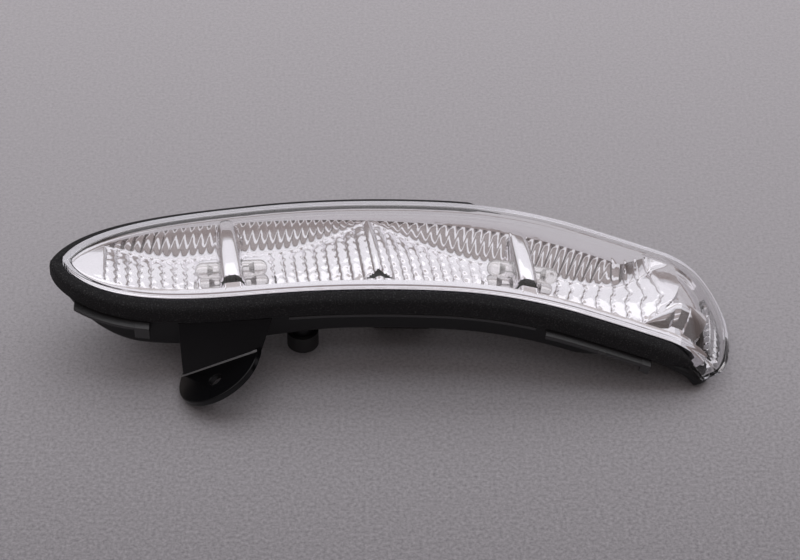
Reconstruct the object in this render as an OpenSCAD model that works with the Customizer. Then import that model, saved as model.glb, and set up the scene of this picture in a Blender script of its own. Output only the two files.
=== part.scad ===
// Vehicle door-mirror indicator lamp: a long leaf-shaped lens, welded to a
// black housing, with a foam gasket round it and a fluted reflector inside.
// Everything that follows the lamp's bend is drawn in three bent
// coordinates: s runs along the crown, v across it, and h is the height
// above the crown. at(s, v, h) turns them into a point. The lamp stands on
// its bracket, its right end and its connector, with the table at zero.

/* [Crown line] */
// Place of the lens tip along the length, from the lamp's middle
tip_x = -101.07; // [-110:0.1:-90]
// Height of the crown above the table at the tip
tip_z = 33.1; // [30:0.1:38]
// Slope of the crown at the tip, in degrees
tip_ang = -1.2; // [-8:0.1:8]
// Length of the first bend of the crown
bend_1 = 58; // [45:0.5:72]
// Slope after the first bend
ang_1 = 4.1; // [0:0.1:8]
// Length of the second bend
bend_2 = 60; // [45:0.5:75]
// Slope after the second bend
ang_2 = -1.7; // [-6:0.1:3]
// Length of the third bend
bend_3 = 45; // [35:0.5:60]
// Slope after the third bend
ang_3 = -16.8; // [-24:0.1:-10]
// Length of the nearly straight stretch before the end
bend_4 = 26; // [18:0.5:32]
// Slope after that stretch
ang_4 = -16.3; // [-24:0.1:-10]
// Length of the tight bend that wraps round the mirror's end
bend_5 = 27; // [20:0.5:30]
// Slope at the right end
ang_5 = -66; // [-75:0.5:-45]
// Radius of the crown across the lamp
crown_r = 62; // [45:1:120]

/* [Plan shape] */
// Radius of the bow of the lamp's left half, seen from above
bow_left = 580; // [350:5:2000]
// Radius of the bow of its right half
bow_right = 640; // [450:5:2000]
// Station of the middle of the bow
bow_s = 93; // [70:1:118]
// How far back the middle of the bow lies
bow_y = 10.51; // [0:0.1:20]
// Half of the lens width
half_w = 20.3; // [18.5:0.1:24]
// Length over which the left end narrows to its tip
leaf_len = 82; // [65:1:100]
// Fullness of the leaf on the near side
near_fill = 4.4; // [3:0.1:6]
// Fullness of the leaf on the far side
far_fill = 3.9; // [2.6:0.1:5]
// Roundness of the tip
tip_round = 1.5; // [1:0.05:2]
// Length of the rounded right end on the near side
end_near = 6; // [5:0.5:12]
// Length of the rounded right end on the far side
end_far = 17; // [10:0.5:30]
// Half width of the blunt tip
tip_blunt = 0.9; // [0.5:0.1:1.2]

/* [Lens] */
// Thickness of the clear lens
lens_t = 2; // [1.5:0.1:2.4]
// Depth of the lens wall, from the crown to its welded edge
lens_h = 6; // [5:0.1:8]
// Size of the rounded edge round the top of the lens
lens_edge = 1.4; // [0.8:0.1:1.8]

/* [Gasket] */
// Width of the foam gasket
gasket_w = 3.9; // [3:0.1:5]
// How far the gasket's top lies below the lens edge
gasket_drop = 1; // [0.6:0.1:2]

/* [Housing] */
// Wall of the housing
wall = 1.8; // [1.5:0.1:2.2]
// How far the housing wall stands outside the lens
wall_out = 2.5; // [1.8:0.1:3]
// How far the flange under the gasket stands outside the lens
flange_out = 3.3; // [3.1:0.1:4.2]
// Depth of the upright part of the wall, below the crown
wall_low = 17; // [16:0.1:18]
// How much shallower the wall is at both ends
wall_rise = 8.6; // [7.5:0.1:8.8]
// Station where the wall reaches its full depth, from the tip
deep_1 = 24; // [20:1:30]
// How much shallower it is along the middle
mid_rise = 2.8; // [2:0.1:3.2]
// Stations over which it rises to that
deep_2 = [36, 88]; // [30:1:100]
// Stations over which it rises to the right end
deep_3 = [162, 182]; // [160:1:190]
// How much of the housing's and gasket's overhang stays at the bare right end
bare = 0.25; // [0.15:0.05:0.5]
// Station where the overhang starts to fade on the near side
fade_near = 196; // [185:1:200]
// Station where it starts to fade on the far side
fade_far = 132; // [120:1:150]
// Length over which it fades
fade_len = 14; // [10:1:16]
// Depth of the floor's underside, below the crown
floor_low = 24; // [23.6:0.1:25]
// How far the floor lies inside the lens outline
floor_in = 5.5; // [4:0.1:7]
// How far the inner seat reaches inside the lens outline
ledge_in = 4.2; // [4:0.05:4.4]

/* [Bracket] */
// Station of the bracket's left edge
plate_s1 = 35.4; // [30:0.1:40]
// Station of the bracket's right edge
plate_s2 = 64; // [58:0.1:68]
// Thickness of the bracket
plate_t = 2; // [1.6:0.1:2.6]
// How far the folded edge stands out from the wall
plate_out = 3.2; // [2.6:0.1:6]
// Height of the lower end of the fold
fold_z = 1.75; // [1.7:0.05:4]
// Length of the fold
fold_len = 28.5; // [24:0.1:32]
// Roll of the folded flange, in degrees
fold_roll = 30.1; // [20:0.1:40]
// Turn of the flange seen from above, in degrees
fold_yaw = -8; // [-12:0.5:0]
// Reach of the folded flange
flange_reach = 15.8; // [13:0.1:20]
// Radius of the screw hole
hole_r = 2.2; // [1.6:0.1:2.6]
// Distance from the fold to the screw hole
hole_out = 6.8; // [6:0.1:8]

/* [Vent] */
// Station of the vent tube
vent_s = 73.4; // [71:0.1:76]
// Place of the vent tube across the lamp
vent_v = -15.8; // [-16.5:0.1:-14]
// Outer radius of the vent tube
vent_r = 3.4; // [3:0.1:4]
// Bore radius of the vent tube
vent_bore = 1.6; // [1.2:0.1:2]
// Height of the bottom of the rubber cap
vent_z = 5; // [3:0.1:7]
// Wall of the rubber cap
cap_wall = 1.4; // [1:0.1:1.8]

/* [Reflector] */
// Gap between the reflector and the inside of the lens
refl_gap = 0.6; // [0.4:0.05:0.9]
// Width of the rim that the reflector seats on
refl_rim = 1.8; // [1.75:0.05:2]
// Depth of the reflector's rim below the crown
rim_low = 3; // [2.8:0.05:3.4]
// Depth of the reflector's wells below its rim
well = 7; // [6:0.1:7.2]
// Thickness of the reflector sheet
refl_t = 1.6; // [1.2:0.05:1.7]
// Distance from the lens's right end back to the reflector's end
refl_tail = 11; // [10:0.5:13]
// Length of the flat tongue and bezel at the reflector's right end
tongue_l = 18; // [15:0.5:21]
// Depth of the trough beside the tongue
trough = 4.3; // [3:0.1:4.5]
// Station of the left rib
rib_1 = 50.5; // [49.5:0.1:51.5]
// Station of the right rib
rib_2 = 142; // [141:0.1:143]
// Half width of a rib
rib_r = 3.5; // [3.2:0.1:4]
// Depth of the half-moon opening at a rib's near end
mouth_d = 2.2; // [1.6:0.1:2.6]
// Width of the notch at the near end of the middle ridge
notch_w = 8.2; // [6:0.1:9]
// Depth of that notch
notch_d = 2.6; // [1.8:0.1:3]
// Pitch of the flutes
flute = 3.2; // [2.6:0.1:4]
// Depth of the flutes
flute_d = 0.45; // [0.2:0.05:0.6]
// Skew of the ribs and flutes across the lamp
skew_k = 0.17; // [0:0.01:0.25]

/* [Lamps and board] */
// Radius of a light-emitting diode's body
led_r = 2.5; // [2.3:0.05:2.6]
// Length of a diode's body
led_len = 8.6; // [8:0.1:9]
// Depth of the diodes' axis below the crown
led_low = 7; // [6.9:0.05:7.05]
// Place of the diodes across the lamp
led_v = -5; // [-6:0.1:-3]
// Spacing of a diode's two leads
lead_pitch = 2.54; // [2.3:0.02:2.8]
// Radius of a lead
lead_r = 0.25; // [0.2:0.01:0.3]
// Station of the circuit board's left end
board_s1 = 39; // [37:0.5:41]
// Station of the circuit board's right end
board_s2 = 155; // [153:0.5:157]
// Width of the circuit board
board_w = 17; // [15:0.5:18]
// Thickness of the circuit board
board_t = 1.2; // [1:0.1:1.3]
// Depth of the board's top below the crown, at its ends
board_low = 12.15; // [12.05:0.05:12.3]
// Radius of a board screw
screw_r = 0.85; // [0.8:0.05:1]

/* [Connector] */
// Length of the connector's shroud
plug_l = 17.5; // [16:0.5:20]
// Width of the connector's shroud
plug_w = 11.6; // [11:0.2:13]
// Wall of the shroud
plug_wall = 1.4; // [1.2:0.1:1.8]
// Depth of the socket
socket_d = 10; // [8:0.5:11]
// Place of the connector along the board
plug_x = 9; // [4:0.5:12]
// Place of the connector across the board
plug_y = 3.4; // [2.6:0.1:3.8]
// Spacing of the two terminals
pin_pitch = 5; // [4:0.1:6]
// How far a terminal stands into the socket
pin_out = 4.7; // [3:0.1:5]
// Width of a square terminal
pin_w = 0.8; // [0.64:0.02:1]

/* [Hidden] */
$fa = 6;
$fs = 0.3;
seat_gap = 0.05;
fit_gap = 0.1;
foam_gap = 0.16;
stations = 44;
ease = 0.75;
lens_len = bend_1 + bend_2 + bend_3 + bend_4 + bend_5;
seat_low = lens_h + seat_gap;
refl_end = lens_len - refl_tail;
tongue_s = refl_end - tongue_l;
flange_t = 1.2;
bends = [[bend_1, ang_1], [bend_2, ang_2], [bend_3, ang_3], [bend_4, ang_4], [bend_5, ang_5]];
black = [0.09, 0.09, 0.1];
rubber = [0.15, 0.15, 0.16];
chrome = [0.85, 0.84, 0.87];
clear = [0.86, 0.87, 0.9, 0.45];
green = [0.16, 0.33, 0.24];
tin = [0.75, 0.75, 0.77];

// The crown is a chain of arcs. An arc that starts at p, with p[2] its
// slope, ends here after a length l, when its slope has turned to a.
function arc_to(p, l, a) =
    let (k = (a - p[2]) * PI / 180 / l)
    abs(k) < 1e-7
        ? [p[0] + l * cos(a), p[1] + l * sin(a), a]
        : [p[0] + (sin(a) - sin(p[2])) / k, p[1] - (cos(a) - cos(p[2])) / k, a];

function knot(i) =
    i == 0 ? [tip_x, tip_z, tip_ang] : arc_to(knot(i - 1), bends[i - 1][0], bends[i - 1][1]);

function start_of(i) = i == 0 ? 0 : start_of(i - 1) + bends[i - 1][0];

knots = [for (i = [0 : len(bends)]) knot(i)];
starts = [for (i = [0 : len(bends)]) start_of(i)];

function straight(p, l) = [p[0] + l * cos(p[2]), p[1] + l * sin(p[2]), p[2]];

// Place and slope of the crown at station s, as [x, z, angle]
function crown(s, i = 0) =
    s <= 0 ? straight(knots[0], s)
    : i == len(bends) ? straight(knots[i], s - starts[i])
    : s > starts[i + 1] ? crown(s, i + 1)
    : let (l = s - starts[i])
      arc_to(knots[i], l, knots[i][2] + (bends[i][1] - knots[i][2]) * l / bends[i][0]);

function mid_y(s) = bow_y - pow(s - bow_s, 2) / (2 * (s < bow_s ? bow_left : bow_right));

function at(s, v, h) =
    let (c = crown(s), u = h - v * v / (2 * crown_r))
    [c[0] - sin(c[2]) * u, mid_y(s) + v, c[1] + cos(c[2]) * u];

// Half width of the outline that lies off outside the lens edge
function swell(u, fill, round) = pow(1 - pow(1 - min(max(u, 0), 1), fill), 1 / round);

function width(s, off, side) =
    let (fill = side < 0 ? near_fill : far_fill,
         tail = side < 0 ? end_near : end_far,
         left = swell((s + off) / (leaf_len + off), fill, tip_round),
         right = swell((lens_len + off - s) / (tail + off), 2, 2))
    max((half_w + off) * left * right, tip_blunt);

// Stations crowd together toward both ends, where the outline turns
function eased(i, n) = i / n - ease * sin(360 * i / n) / (2 * PI);

function out(off, s, side) =
    off <= 0 ? off
    : off * (1 - (1 - bare) * min(max((s - (side < 0 ? fade_near : fade_far)) / fade_len, 0), 1));

function station(i, off) =
    -off + (lens_len + off + (off > 0 ? bare * off : off)) * eased(i, stations);

// The wall and the floor rise toward both ends of the lamp
function eased_step(s, from_to) =
    let (u = min(max((s - from_to[0]) / (from_to[1] - from_to[0]), 0), 1)) u * u * (3 - 2 * u);

function rise(s) =
    s < deep_1 ? min(1.16 * wall_rise * pow(1 - max(s, 0) / deep_1, 2), wall_rise)
    : mid_rise * eased_step(s, deep_2) + (wall_rise - mid_rise) * eased_step(s, deep_3);

floor_share = 1.37;

function floor_h(s) = floor_share * rise(s) - floor_low;

function edge(s, p, side) =
    let (off = out(p[0], s, side))
    at(s, side * width(s, off, side), p[1] + (len(p) > 2 ? p[2] * rise(s) : 0));

// A closed loop round the lamp: near side to the right, far side back
function loop(p) = concat(
    [for (i = [0 : stations]) edge(station(i, p[0]), p, -1)],
    [for (i = [stations : -1 : 0]) edge(station(i, p[0]), p, 1)]);

// Points of a cap between its loop's two sides, for the inner stations
function cap_points(p, parts) =
    [for (i = [1 : stations - 1], j = [1 : parts - 1])
        let (s = station(i, p[0]), a = -width(s, p[0], -1), b = width(s, p[0], 1))
        at(s, a + (b - a) * j / parts, p[1] + (len(p) > 2 ? p[2] * rise(s) : 0))];

// Number of a cap's point: its loop starts at base, its inner points at fill
function cap_no(i, j, parts, base, fill) =
    j == 0 ? base + i
    : j == parts ? base + 2 * stations + 1 - i
    : fill + (i - 1) * (parts - 1) + j - 1;

function quad(a, b, c, d, turned) =
    turned ? [[a, b, c], [a, c, d]] : [[c, b, a], [d, c, a]];

function cap_faces(parts, base, fill, turned) = concat(
    [for (i = [1 : stations - 2], j = [0 : parts - 1])
        for (f = quad(cap_no(i, j, parts, base, fill), cap_no(i + 1, j, parts, base, fill),
                      cap_no(i + 1, j + 1, parts, base, fill), cap_no(i, j + 1, parts, base, fill),
                      turned)) f],
    [for (j = [0 : parts - 1])
        let (a = base, b = cap_no(1, j, parts, base, fill), c = cap_no(1, j + 1, parts, base, fill))
        turned ? [a, b, c] : [c, b, a]],
    [for (j = [0 : parts - 1])
        let (a = base + stations, n = stations - 1,
             b = cap_no(n, j, parts, base, fill), c = cap_no(n, j + 1, parts, base, fill))
        turned ? [c, b, a] : [a, b, c]],
    let (a = base, b = base + 2 * stations + 1, c = cap_no(1, parts, parts, base, fill),
         d = base + stations, e = base + stations + 1,
         f = cap_no(stations - 1, parts, parts, base, fill))
    turned ? [[a, c, b], [d, e, f]] : [[b, c, a], [f, e, d]]);

// Faces between the loops numbered r and q
function band(r, q, turned) =
    let (n = 2 * stations + 2)
    [for (i = [0 : n - 1])
        for (f = quad(r * n + i, r * n + (i + 1) % n, q * n + (i + 1) % n, q * n + i, turned)) f];

// A shell with one open side. Its profile runs from the middle of one face,
// round the rim and back to the middle of the other, as [off, h] pairs. A
// third number says how much of the housing's rise a point takes.
module shell(profile, parts, turned) {
    last = len(profile) - 1;
    size = 2 * stations + 2;
    fill_1 = (last + 1) * size;
    fill_2 = fill_1 + (stations - 1) * (parts - 1);
    points = concat([for (p = profile) for (q = loop(p)) q],
        cap_points(profile[0], parts), cap_points(profile[last], parts));
    faces = concat([for (r = [0 : last - 1]) for (f = band(r, r + 1, turned)) f],
        cap_faces(parts, 0, fill_1, !turned),
        cap_faces(parts, last * size, fill_2, turned));
    polyhedron(points, faces, convexity = 8);
}

// A closed profile carried along the near side, round the tip and back along
// the far side. It thins out over the last stretch before both ends.
module seal(profile, near_end, far_end) {
    n = len(profile);
    half = 40;
    last = 2 * half + 1;
    rows = [for (i = [0 : last])
        let (side = i <= half ? -1 : 1, end = side < 0 ? near_end : far_end,
             u = eased(side < 0 ? half - i : i - half - 1, half))
        [for (p = profile)
            let (s = -p[0] + (end + p[0]) * u, thin = min(1, 0.15 + (end - s) / fade_len))
            at(s, side * width(s, foam_gap + (p[0] - foam_gap) * thin, side), p[1])]];
    polyhedron([for (r = rows) for (q = r) q],
        concat(
            [for (i = [0 : last - 1], j = [0 : n - 1])
                for (f = quad(n * i + j, n * i + (j + 1) % n, n * i + n + (j + 1) % n, n * i + n + j,
                              true)) f],
            [for (j = [1 : n - 2]) [0, j + 1, j]],
            [for (j = [1 : n - 2]) [n * last, n * last + j, n * last + j + 1]]), convexity = 8);
}

// A bar of four-sided section that follows one side of the outline
module rail(s1, s2, side, off_1, off_2, h_1, h_2) {
    n = 10;
    corners = [[off_1, h_1], [off_2, h_1], [off_2, h_2], [off_1, h_2]];
    points = [for (i = [0 : n], c = corners)
        edge(s1 + (s2 - s1) * i / n, c, side)];
    walls = [for (i = [0 : n - 1], j = [0 : 3])
        for (f = quad(4 * i + j, 4 * i + (j + 1) % 4, 4 * i + 4 + (j + 1) % 4, 4 * i + 4 + j,
                      side > 0)) f];
    ends = side > 0 ? [[3, 2, 1, 0], [4 * n, 4 * n + 1, 4 * n + 2, 4 * n + 3]]
        : [[0, 1, 2, 3], [4 * n + 3, 4 * n + 2, 4 * n + 1, 4 * n]];
    polyhedron(points, concat(walls, ends), convexity = 4);
}

// Stands its children on the point (s, v, h), with their x along the lamp
module put(s, v, h) {
    a = crown(s)[2];
    p = at(s, v, h);
    multmatrix([[cos(a), 0, -sin(a), p[0]], [0, 1, 0, p[1]], [sin(a), 0, cos(a), p[2]],
        [0, 0, 0, 1]]) children();
}

module rod(a, b, r) {
    d = b - a;
    translate(a)
        rotate([0, acos(d[2] / norm(d)), atan2(d[1], d[0])])
            cylinder(h = norm(d), r = r);
}

module box(from, to) {
    translate(from) cube(to - from);
}

// The board is flat, so it lies on the chord of the bent lamp.
board_a = at(board_s1, 0, -board_low);
board_b = at(board_s2, 0, -board_low);
board_tilt = atan2(board_b[2] - board_a[2], board_b[0] - board_a[0]);
board_len = norm([board_b[0] - board_a[0], board_b[2] - board_a[2]]);
board_mid = (board_a + board_b) / 2;
board_y = (mid_y(board_s1) + mid_y(board_s2) + 2 * mid_y((board_s1 + board_s2) / 2)) / 4;

// A point in the board's own frame: x along it, z up from its top face
function on_board(p) =
    let (x = p[0] - board_mid[0], z = p[2] - board_mid[2])
    [x * cos(board_tilt) + z * sin(board_tilt), p[1] - board_y,
     z * cos(board_tilt) - x * sin(board_tilt)];

module board_frame() {
    translate([board_mid[0], board_y, board_mid[2]]) rotate([0, -board_tilt, 0]) children();
}

// Height above the board's top face of a depth h below the crown
function board_s(x) = (board_s1 + board_s2) / 2 + x;

function above_board(x, v, h) = on_board(at(board_s(x), v, h))[2];

screw_xs = [-28, 24];
rest_xs = [-50, 49];
resistor_xs = [-17, -11.5, 30.5, 36];

lens_profile = [[-lens_edge, 0], [-lens_edge * 0.3, -lens_edge * 0.3], [0, -lens_edge],
    [0, -lens_h], [-lens_t, -lens_h], [-lens_t, -lens_t - 0.8], [-lens_t - 0.8, -lens_t]];

module lens() {
    color(clear) shell(lens_profile, 6, true);
}

module gasket() {
    top = -gasket_drop;
    low = seat_gap - lens_h;
    far = foam_gap + gasket_w;
    color(rubber)
        seal([[foam_gap, low], [foam_gap, top - 0.8], [foam_gap + 0.9, top], [far - 1, top - 0.1],
            [far, top - 1.1], [far, low]], fade_near + 6, fade_far + 6);
}

housing_profile = [[-floor_in, -floor_low, floor_share], [wall_out, -wall_low, 1],
    [wall_out, -seat_low - flange_t], [flange_out, -seat_low - flange_t],
    [flange_out, -seat_low], [-ledge_in, -seat_low], [-ledge_in, -seat_low - flange_t],
    [wall_out - wall, -seat_low - flange_t - 0.3], [wall_out - wall, -wall_low + 0.6, 1],
    [-floor_in - wall * 0.4, -floor_low + wall, floor_share]];

// The bracket hangs from the near wall, folds at its lower edge and ends in
// a rounded flange with one screw hole.
plate_top = -seat_low - flange_t - 0.6;
plate_a = at(plate_s1, -width(plate_s1, wall_out, -1), plate_top);
plate_b = at(plate_s2, -width(plate_s2, wall_out, -1), plate_top);
fold_a = [plate_a[0], plate_a[1] - plate_out, fold_z];
fold_x = [cos(fold_yaw) * cos(fold_roll), sin(fold_yaw) * cos(fold_roll), sin(fold_roll)];
fold_y = [sin(fold_yaw), -cos(fold_yaw), 0];
fold_up = cross(fold_y, fold_x);
fold_m = [[fold_x[0], fold_y[0], -fold_up[0], fold_a[0]], [fold_x[1], fold_y[1], -fold_up[1], fold_a[1]],
    [fold_x[2], fold_y[2], -fold_up[2], fold_a[2]], [0, 0, 0, 1]];

// Outline of the flange: half an oval on the fold line, and a strip that runs into the plate
function flange_outline() = concat(
    [for (i = [0 : 16])
        let (a = 180 * i / 16)
        [fold_len / 2 * (1 + cos(a)), flange_reach * pow(sin(a), 0.85)]],
    [[0, -plate_t * 0.9], [fold_len, -plate_t * 0.9]]);

module bracket() {
    proud = [0, -0.4, 0];
    sunk = -0.8 * plate_t * fold_up;
    corners = [plate_a + proud, plate_b + proud, fold_a + fold_len * fold_x + sunk, fold_a + sunk];
    polyhedron([for (p = corners) for (k = [1, 0]) p + [0, k * plate_t, 0]],
        [[0, 4, 2], [0, 6, 4], [1, 3, 5], [1, 5, 7], [0, 3, 1], [0, 2, 3], [2, 5, 3], [2, 4, 5],
         [4, 7, 5], [4, 6, 7], [6, 1, 7], [6, 0, 1]], convexity = 3);
    multmatrix(fold_m)
        difference() {
            linear_extrude(plate_t) polygon(flange_outline());
            translate([fold_len / 2, hole_out, -1]) cylinder(h = plate_t + 2, r = hole_r);
        }
}

// Ledges and hooks that catch the mirror's shell, along the near wall
module catches() {
    low = -seat_low - flange_t;
    rail(10, 26, -1, wall_out - 0.5, flange_out + 0.9, low + 0.4, low - 0.9);
    rail(23, 26.5, -1, wall_out - 0.6, flange_out + 0.6, low - 0.5, low - 3.4);
    rail(151, 185, -1, wall_out - 0.5, flange_out + 0.9, low + 0.4, low - 0.9);
    rail(182, 185.5, -1, wall_out - 0.6, flange_out + 0.6, low - 0.5, low - 3.4);
    rail(69, 148, -1, wall_out - 0.5, wall_out + 0.45, low - 0.6, low - 1.7);
}

vent_p = at(vent_s, vent_v, 0);
vent_top = at(vent_s, vent_v, floor_h(vent_s))[2] + 3.2;
vent_low = vent_z + cap_wall + 1.5;

module housing() {
    posts = concat([for (x = screw_xs) [x, screw_r + 1.7]], [for (x = rest_xs) [x, 2]]);
    color(black)
        difference() {
            union() {
                shell(housing_profile, 4, false);
                bracket();
                catches();
                translate([vent_p[0], vent_p[1], vent_low])
                    cylinder(h = vent_top - vent_low, r = vent_r);
                board_frame()
                    for (p = posts)
                        let (floor = above_board(p[0], 0, wall * 0.6 + floor_h(board_s(p[0]))))
                        translate([p[0], 0, floor])
                            cylinder(h = -board_t - seat_gap - floor, r = p[1]);
            }
            translate([vent_p[0], vent_p[1], vent_low - 1])
                cylinder(h = vent_top - vent_low + 2, r = vent_bore);
            board_frame() {
                for (x = screw_xs)
                    translate([x, 0, -board_t - 3])
                        cylinder(h = 3, r = screw_r + seat_gap);
                box([plug_x - core_l / 2 - fit_gap, plug_y - core_w / 2 - fit_gap, -board_t - 12],
                    [plug_x + core_l / 2 + fit_gap, plug_y + core_w / 2 + fit_gap, -board_t + 1]);
            }
        }
}

module vent_cap() {
    r = vent_r + fit_gap;
    top = vent_low + 3.3;
    color(rubber)
        translate([vent_p[0], vent_p[1], 0])
            rotate_extrude()
                polygon([[0, vent_z], [r + cap_wall - 0.6, vent_z], [r + cap_wall, vent_z + 0.6],
                    [r + cap_wall, top], [r, top], [r, vent_low - seat_gap], [0, vent_low - seat_gap]]);
}

// The reflector is a sheet over the same outline. Two wells hold the diodes,
// their floors rise in curves to a ridge between them, and a rib crosses
// each well. Depths here are measured down from the rim.
peak_s = (rib_1 + rib_2) / 2 - 1.2;
well_1 = [rib_1 - 14.5, rib_1 + 13.5];
well_2 = [rib_2 - 14.5, rib_2 + 12.5];
ramp_1 = well_1[0] - 12;
ramp_2 = peak_s - well_1[1];
ramp_3 = well_2[0] - peak_s;
ramp_4 = tongue_s - well_2[1];

function ramp(far, reach) = 1 - pow(min(max(far / reach, 0), 1), 1.6);

function depth(s) = well * (
    s < peak_s
        ? (s < well_1[0] ? ramp(well_1[0] - s, ramp_1) : ramp(s - well_1[1], ramp_2))
        : (s < well_2[0] ? ramp(well_2[0] - s, ramp_3) : ramp(s - well_2[1], ramp_4)));

function skew(s) = 4 * skew_k * (s / lens_len) * (1 - s / lens_len);

// Where the outline that lies off outside the lens edge crosses the skewed line of station s
function rim_v(s, off, side) =
    let (w = width(s, off, side))
    side * width(s - skew(s) * side * w, off, side);

// Stations of the reflector with what each carries: 0 plain, 1 the low line
// of a flute, 2 a line of a rib
function flutes(from, to) =
    let (n = 2 * round((to - from) / flute))
    [for (i = [0 : n]) [from + (to - from) * i / n, i % 2]];

function rib_lines(c) = [for (i = [0 : 8]) [c - rib_r * cos(180 * i / 8), 2]];

marks = concat(
    [for (i = [0 : 4]) [lens_t + refl_gap + i * 1.7, 0]],
    flutes(12, rib_1 - 12),
    [[rib_1 - 8, 0]],
    rib_lines(rib_1),
    [[rib_1 + 9, 0]],
    flutes(rib_1 + 12, peak_s),
    [for (m = flutes(peak_s, rib_2 - 12)) if (m[0] > peak_s) m],
    [[rib_2 - 8, 0]],
    rib_lines(rib_2),
    [[rib_2 + 9, 0]],
    flutes(rib_2 + 12, tongue_s),
    [for (i = [1 : 8]) [tongue_s + tongue_l * i / 8, 0]]);

// Height of a rib over the well's floor
function rib_h(s) =
    let (x = min(abs(s - rib_1), abs(s - rib_2)) / rib_r)
    x < 1 ? (well - 0.2) * sqrt(1 - x * x * x) : 0;

// At the right end the wells give way to a flat tongue and bezel, with a
// trough along its near side. This is how much of that a station has, and
// where the tongue's near edge lies, as a share of the way to the near rim.
function tongue(s) = eased_step(s, [tongue_s - 6, tongue_s]);

function tongue_edge(s) =
    0.79 - 0.6 * min(max((s - tongue_s + 6) / 11, 0), 1) - 0.13 * min(max((s - tongue_s - 5) / 13, 0), 1);

// Where the wells end on the far side, as a share of the way to the far rim:
// the far shelf is narrow at the left and grows wide toward the right
function far_share(s) =
    let (u = min(max((s - well_1[0]) / (rib_2 - well_1[0]), 0), 1))
    0.88 - 0.48 * u - 0.13 * eased_step(s, [rib_2, tongue_s]);

// The lines of one station, from the near rim to the far rim, as [v, top, bottom]
function lines(m) =
    let (s = m[0], d = depth(s), top = -rim_low, off = lens_t + refl_gap,
         near = rim_v(s, -off, -1), far = rim_v(s, -off, 1),
         near_in = min(rim_v(s, -off - refl_rim, -1), -0.45),
         far_in = max(rim_v(s, -off - refl_rim, 1), 0.45),
         e = tongue(s), dip = e * (trough - d),
         foot = near_in + 0.32 * (d + dip), edge = far_in * far_share(s),
         crease = (edge - 1.12 * d) * (1 - e) + near_in * tongue_edge(s) * e,
         low = top - d + (m[1] == 2 ? rib_h(s) : 0) - (m[1] == 1 && d > 0.1 ? flute_d : 0),
         under = top - d - refl_t,
         wall_top = max(top - d / 2 - (m[1] == 1 ? flute_d : 0), m[1] == 2 ? low : -99))
    [[near, top, -lens_h],
     [near_in, top, -lens_h],
     [foot, low - dip, under - dip],
     [foot + (crease - foot) / 3, low - dip * 2 / 3, under - dip * 2 / 3],
     [foot + (crease - foot) * 2 / 3, low - dip / 3, under - dip / 3],
     [crease, low, under],
     [(crease + edge) / 2, wall_top, top - d / 2 - refl_t],
     [edge, top, top - refl_t],
     [edge + (far_in - edge) * 0.85, top, top - refl_t],
     [far_in, top, -lens_h],
     [far, top, -lens_h]];

module sheet() {
    rows = [for (m = marks) lines(m)];
    n = len(rows) - 1;
    c = len(rows[0]);
    size = len(rows) * c;
    points = concat(
        [for (i = [0 : n], q = rows[i]) at(marks[i][0] - skew(marks[i][0]) * q[0], q[0], q[1])],
        [for (i = [0 : n], q = rows[i]) at(marks[i][0] - skew(marks[i][0]) * q[0], q[0], q[2])]);
    faces = concat(
        [for (i = [0 : n - 1], j = [0 : c - 2])
            for (f = quad(i * c + j, (i + 1) * c + j, (i + 1) * c + j + 1, i * c + j + 1, false)) f],
        [for (i = [0 : n - 1], j = [0 : c - 2])
            for (f = quad(size + i * c + j, size + (i + 1) * c + j, size + (i + 1) * c + j + 1,
                          size + i * c + j + 1, true)) f],
        [for (i = [0 : n - 1], e = [0, c - 1])
            for (f = quad(i * c + e, (i + 1) * c + e, size + (i + 1) * c + e, size + i * c + e,
                          e == 0)) f],
        [for (j = [0 : c - 2], e = [0, n])
            for (f = quad(e * c + j, e * c + j + 1, size + e * c + j + 1, size + e * c + j,
                          e == n)) f]);
    polyhedron(points, faces, convexity = 10);
}

// A diode lies along the lamp beside a rib, its round end turned away from it.
lamp_back = rib_r - 0.9;
lamps = [[rib_1, -1], [rib_1, 1], [rib_2, -1], [rib_2, 1]];

function lamp_s(n) = lamps[n - 1][0] - skew(lamps[n - 1][0]) * led_v + lamps[n - 1][1] * lamp_back;

// Place across the lamp of the reflector's inner near edge, at station s
function near_edge(s) = rim_v(s, -lens_t - refl_gap - refl_rim, -1);

module reflector() {
    color(chrome)
        difference() {
            sheet();
            for (c = [rib_1, rib_2])
                let (v = near_edge(c) + 0.32 * well - 0.6)
                put(c - skew(c) * v, v, -rim_low)
                    translate([0, 0, -well - refl_t - 3])
                        linear_extrude(well + refl_t + 4)
                            polygon([for (a = [0 : 12 : 180]) [rib_r * cos(a), mouth_d * sin(a)]]);
            let (v = near_edge(peak_s) + 1.4)
                put(peak_s - skew(peak_s) * v, v, -rim_low)
                    translate([0, 0, -refl_t - 2])
                        linear_extrude(refl_t + 3)
                            polygon([[-notch_w / 2, 0], [notch_w / 2, 0], [0, notch_d]]);
            for (n = [1 : 4])
                put(lamp_s(n), led_v, -led_low)
                    rotate([0, lamps[n - 1][1] * 90, 0])
                        cylinder(h = led_len, r = led_r + 0.55);
            for (c = [rib_1, rib_2])
                put(c - skew(c) * led_v, led_v, -led_low)
                    box([-lamp_back - 0.05, -lead_pitch / 2 - 0.7, led_low - rim_low - well - refl_t - 2],
                        [lamp_back + 0.05, lead_pitch / 2 + 0.7, 0.7]);
        }
}

module led(n) {
    flange = led_r + 0.4;
    color(clear)
        put(lamp_s(n), led_v, -led_low)
            rotate([0, lamps[n - 1][1] * 90, 0])
                rotate_extrude()
                    polygon(concat([[0, 0], [flange, 0], [flange, 1], [led_r, 1]],
                        [for (a = [0 : 9 : 90]) [led_r * cos(a), led_len - led_r + led_r * sin(a)]]));
}

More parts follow.
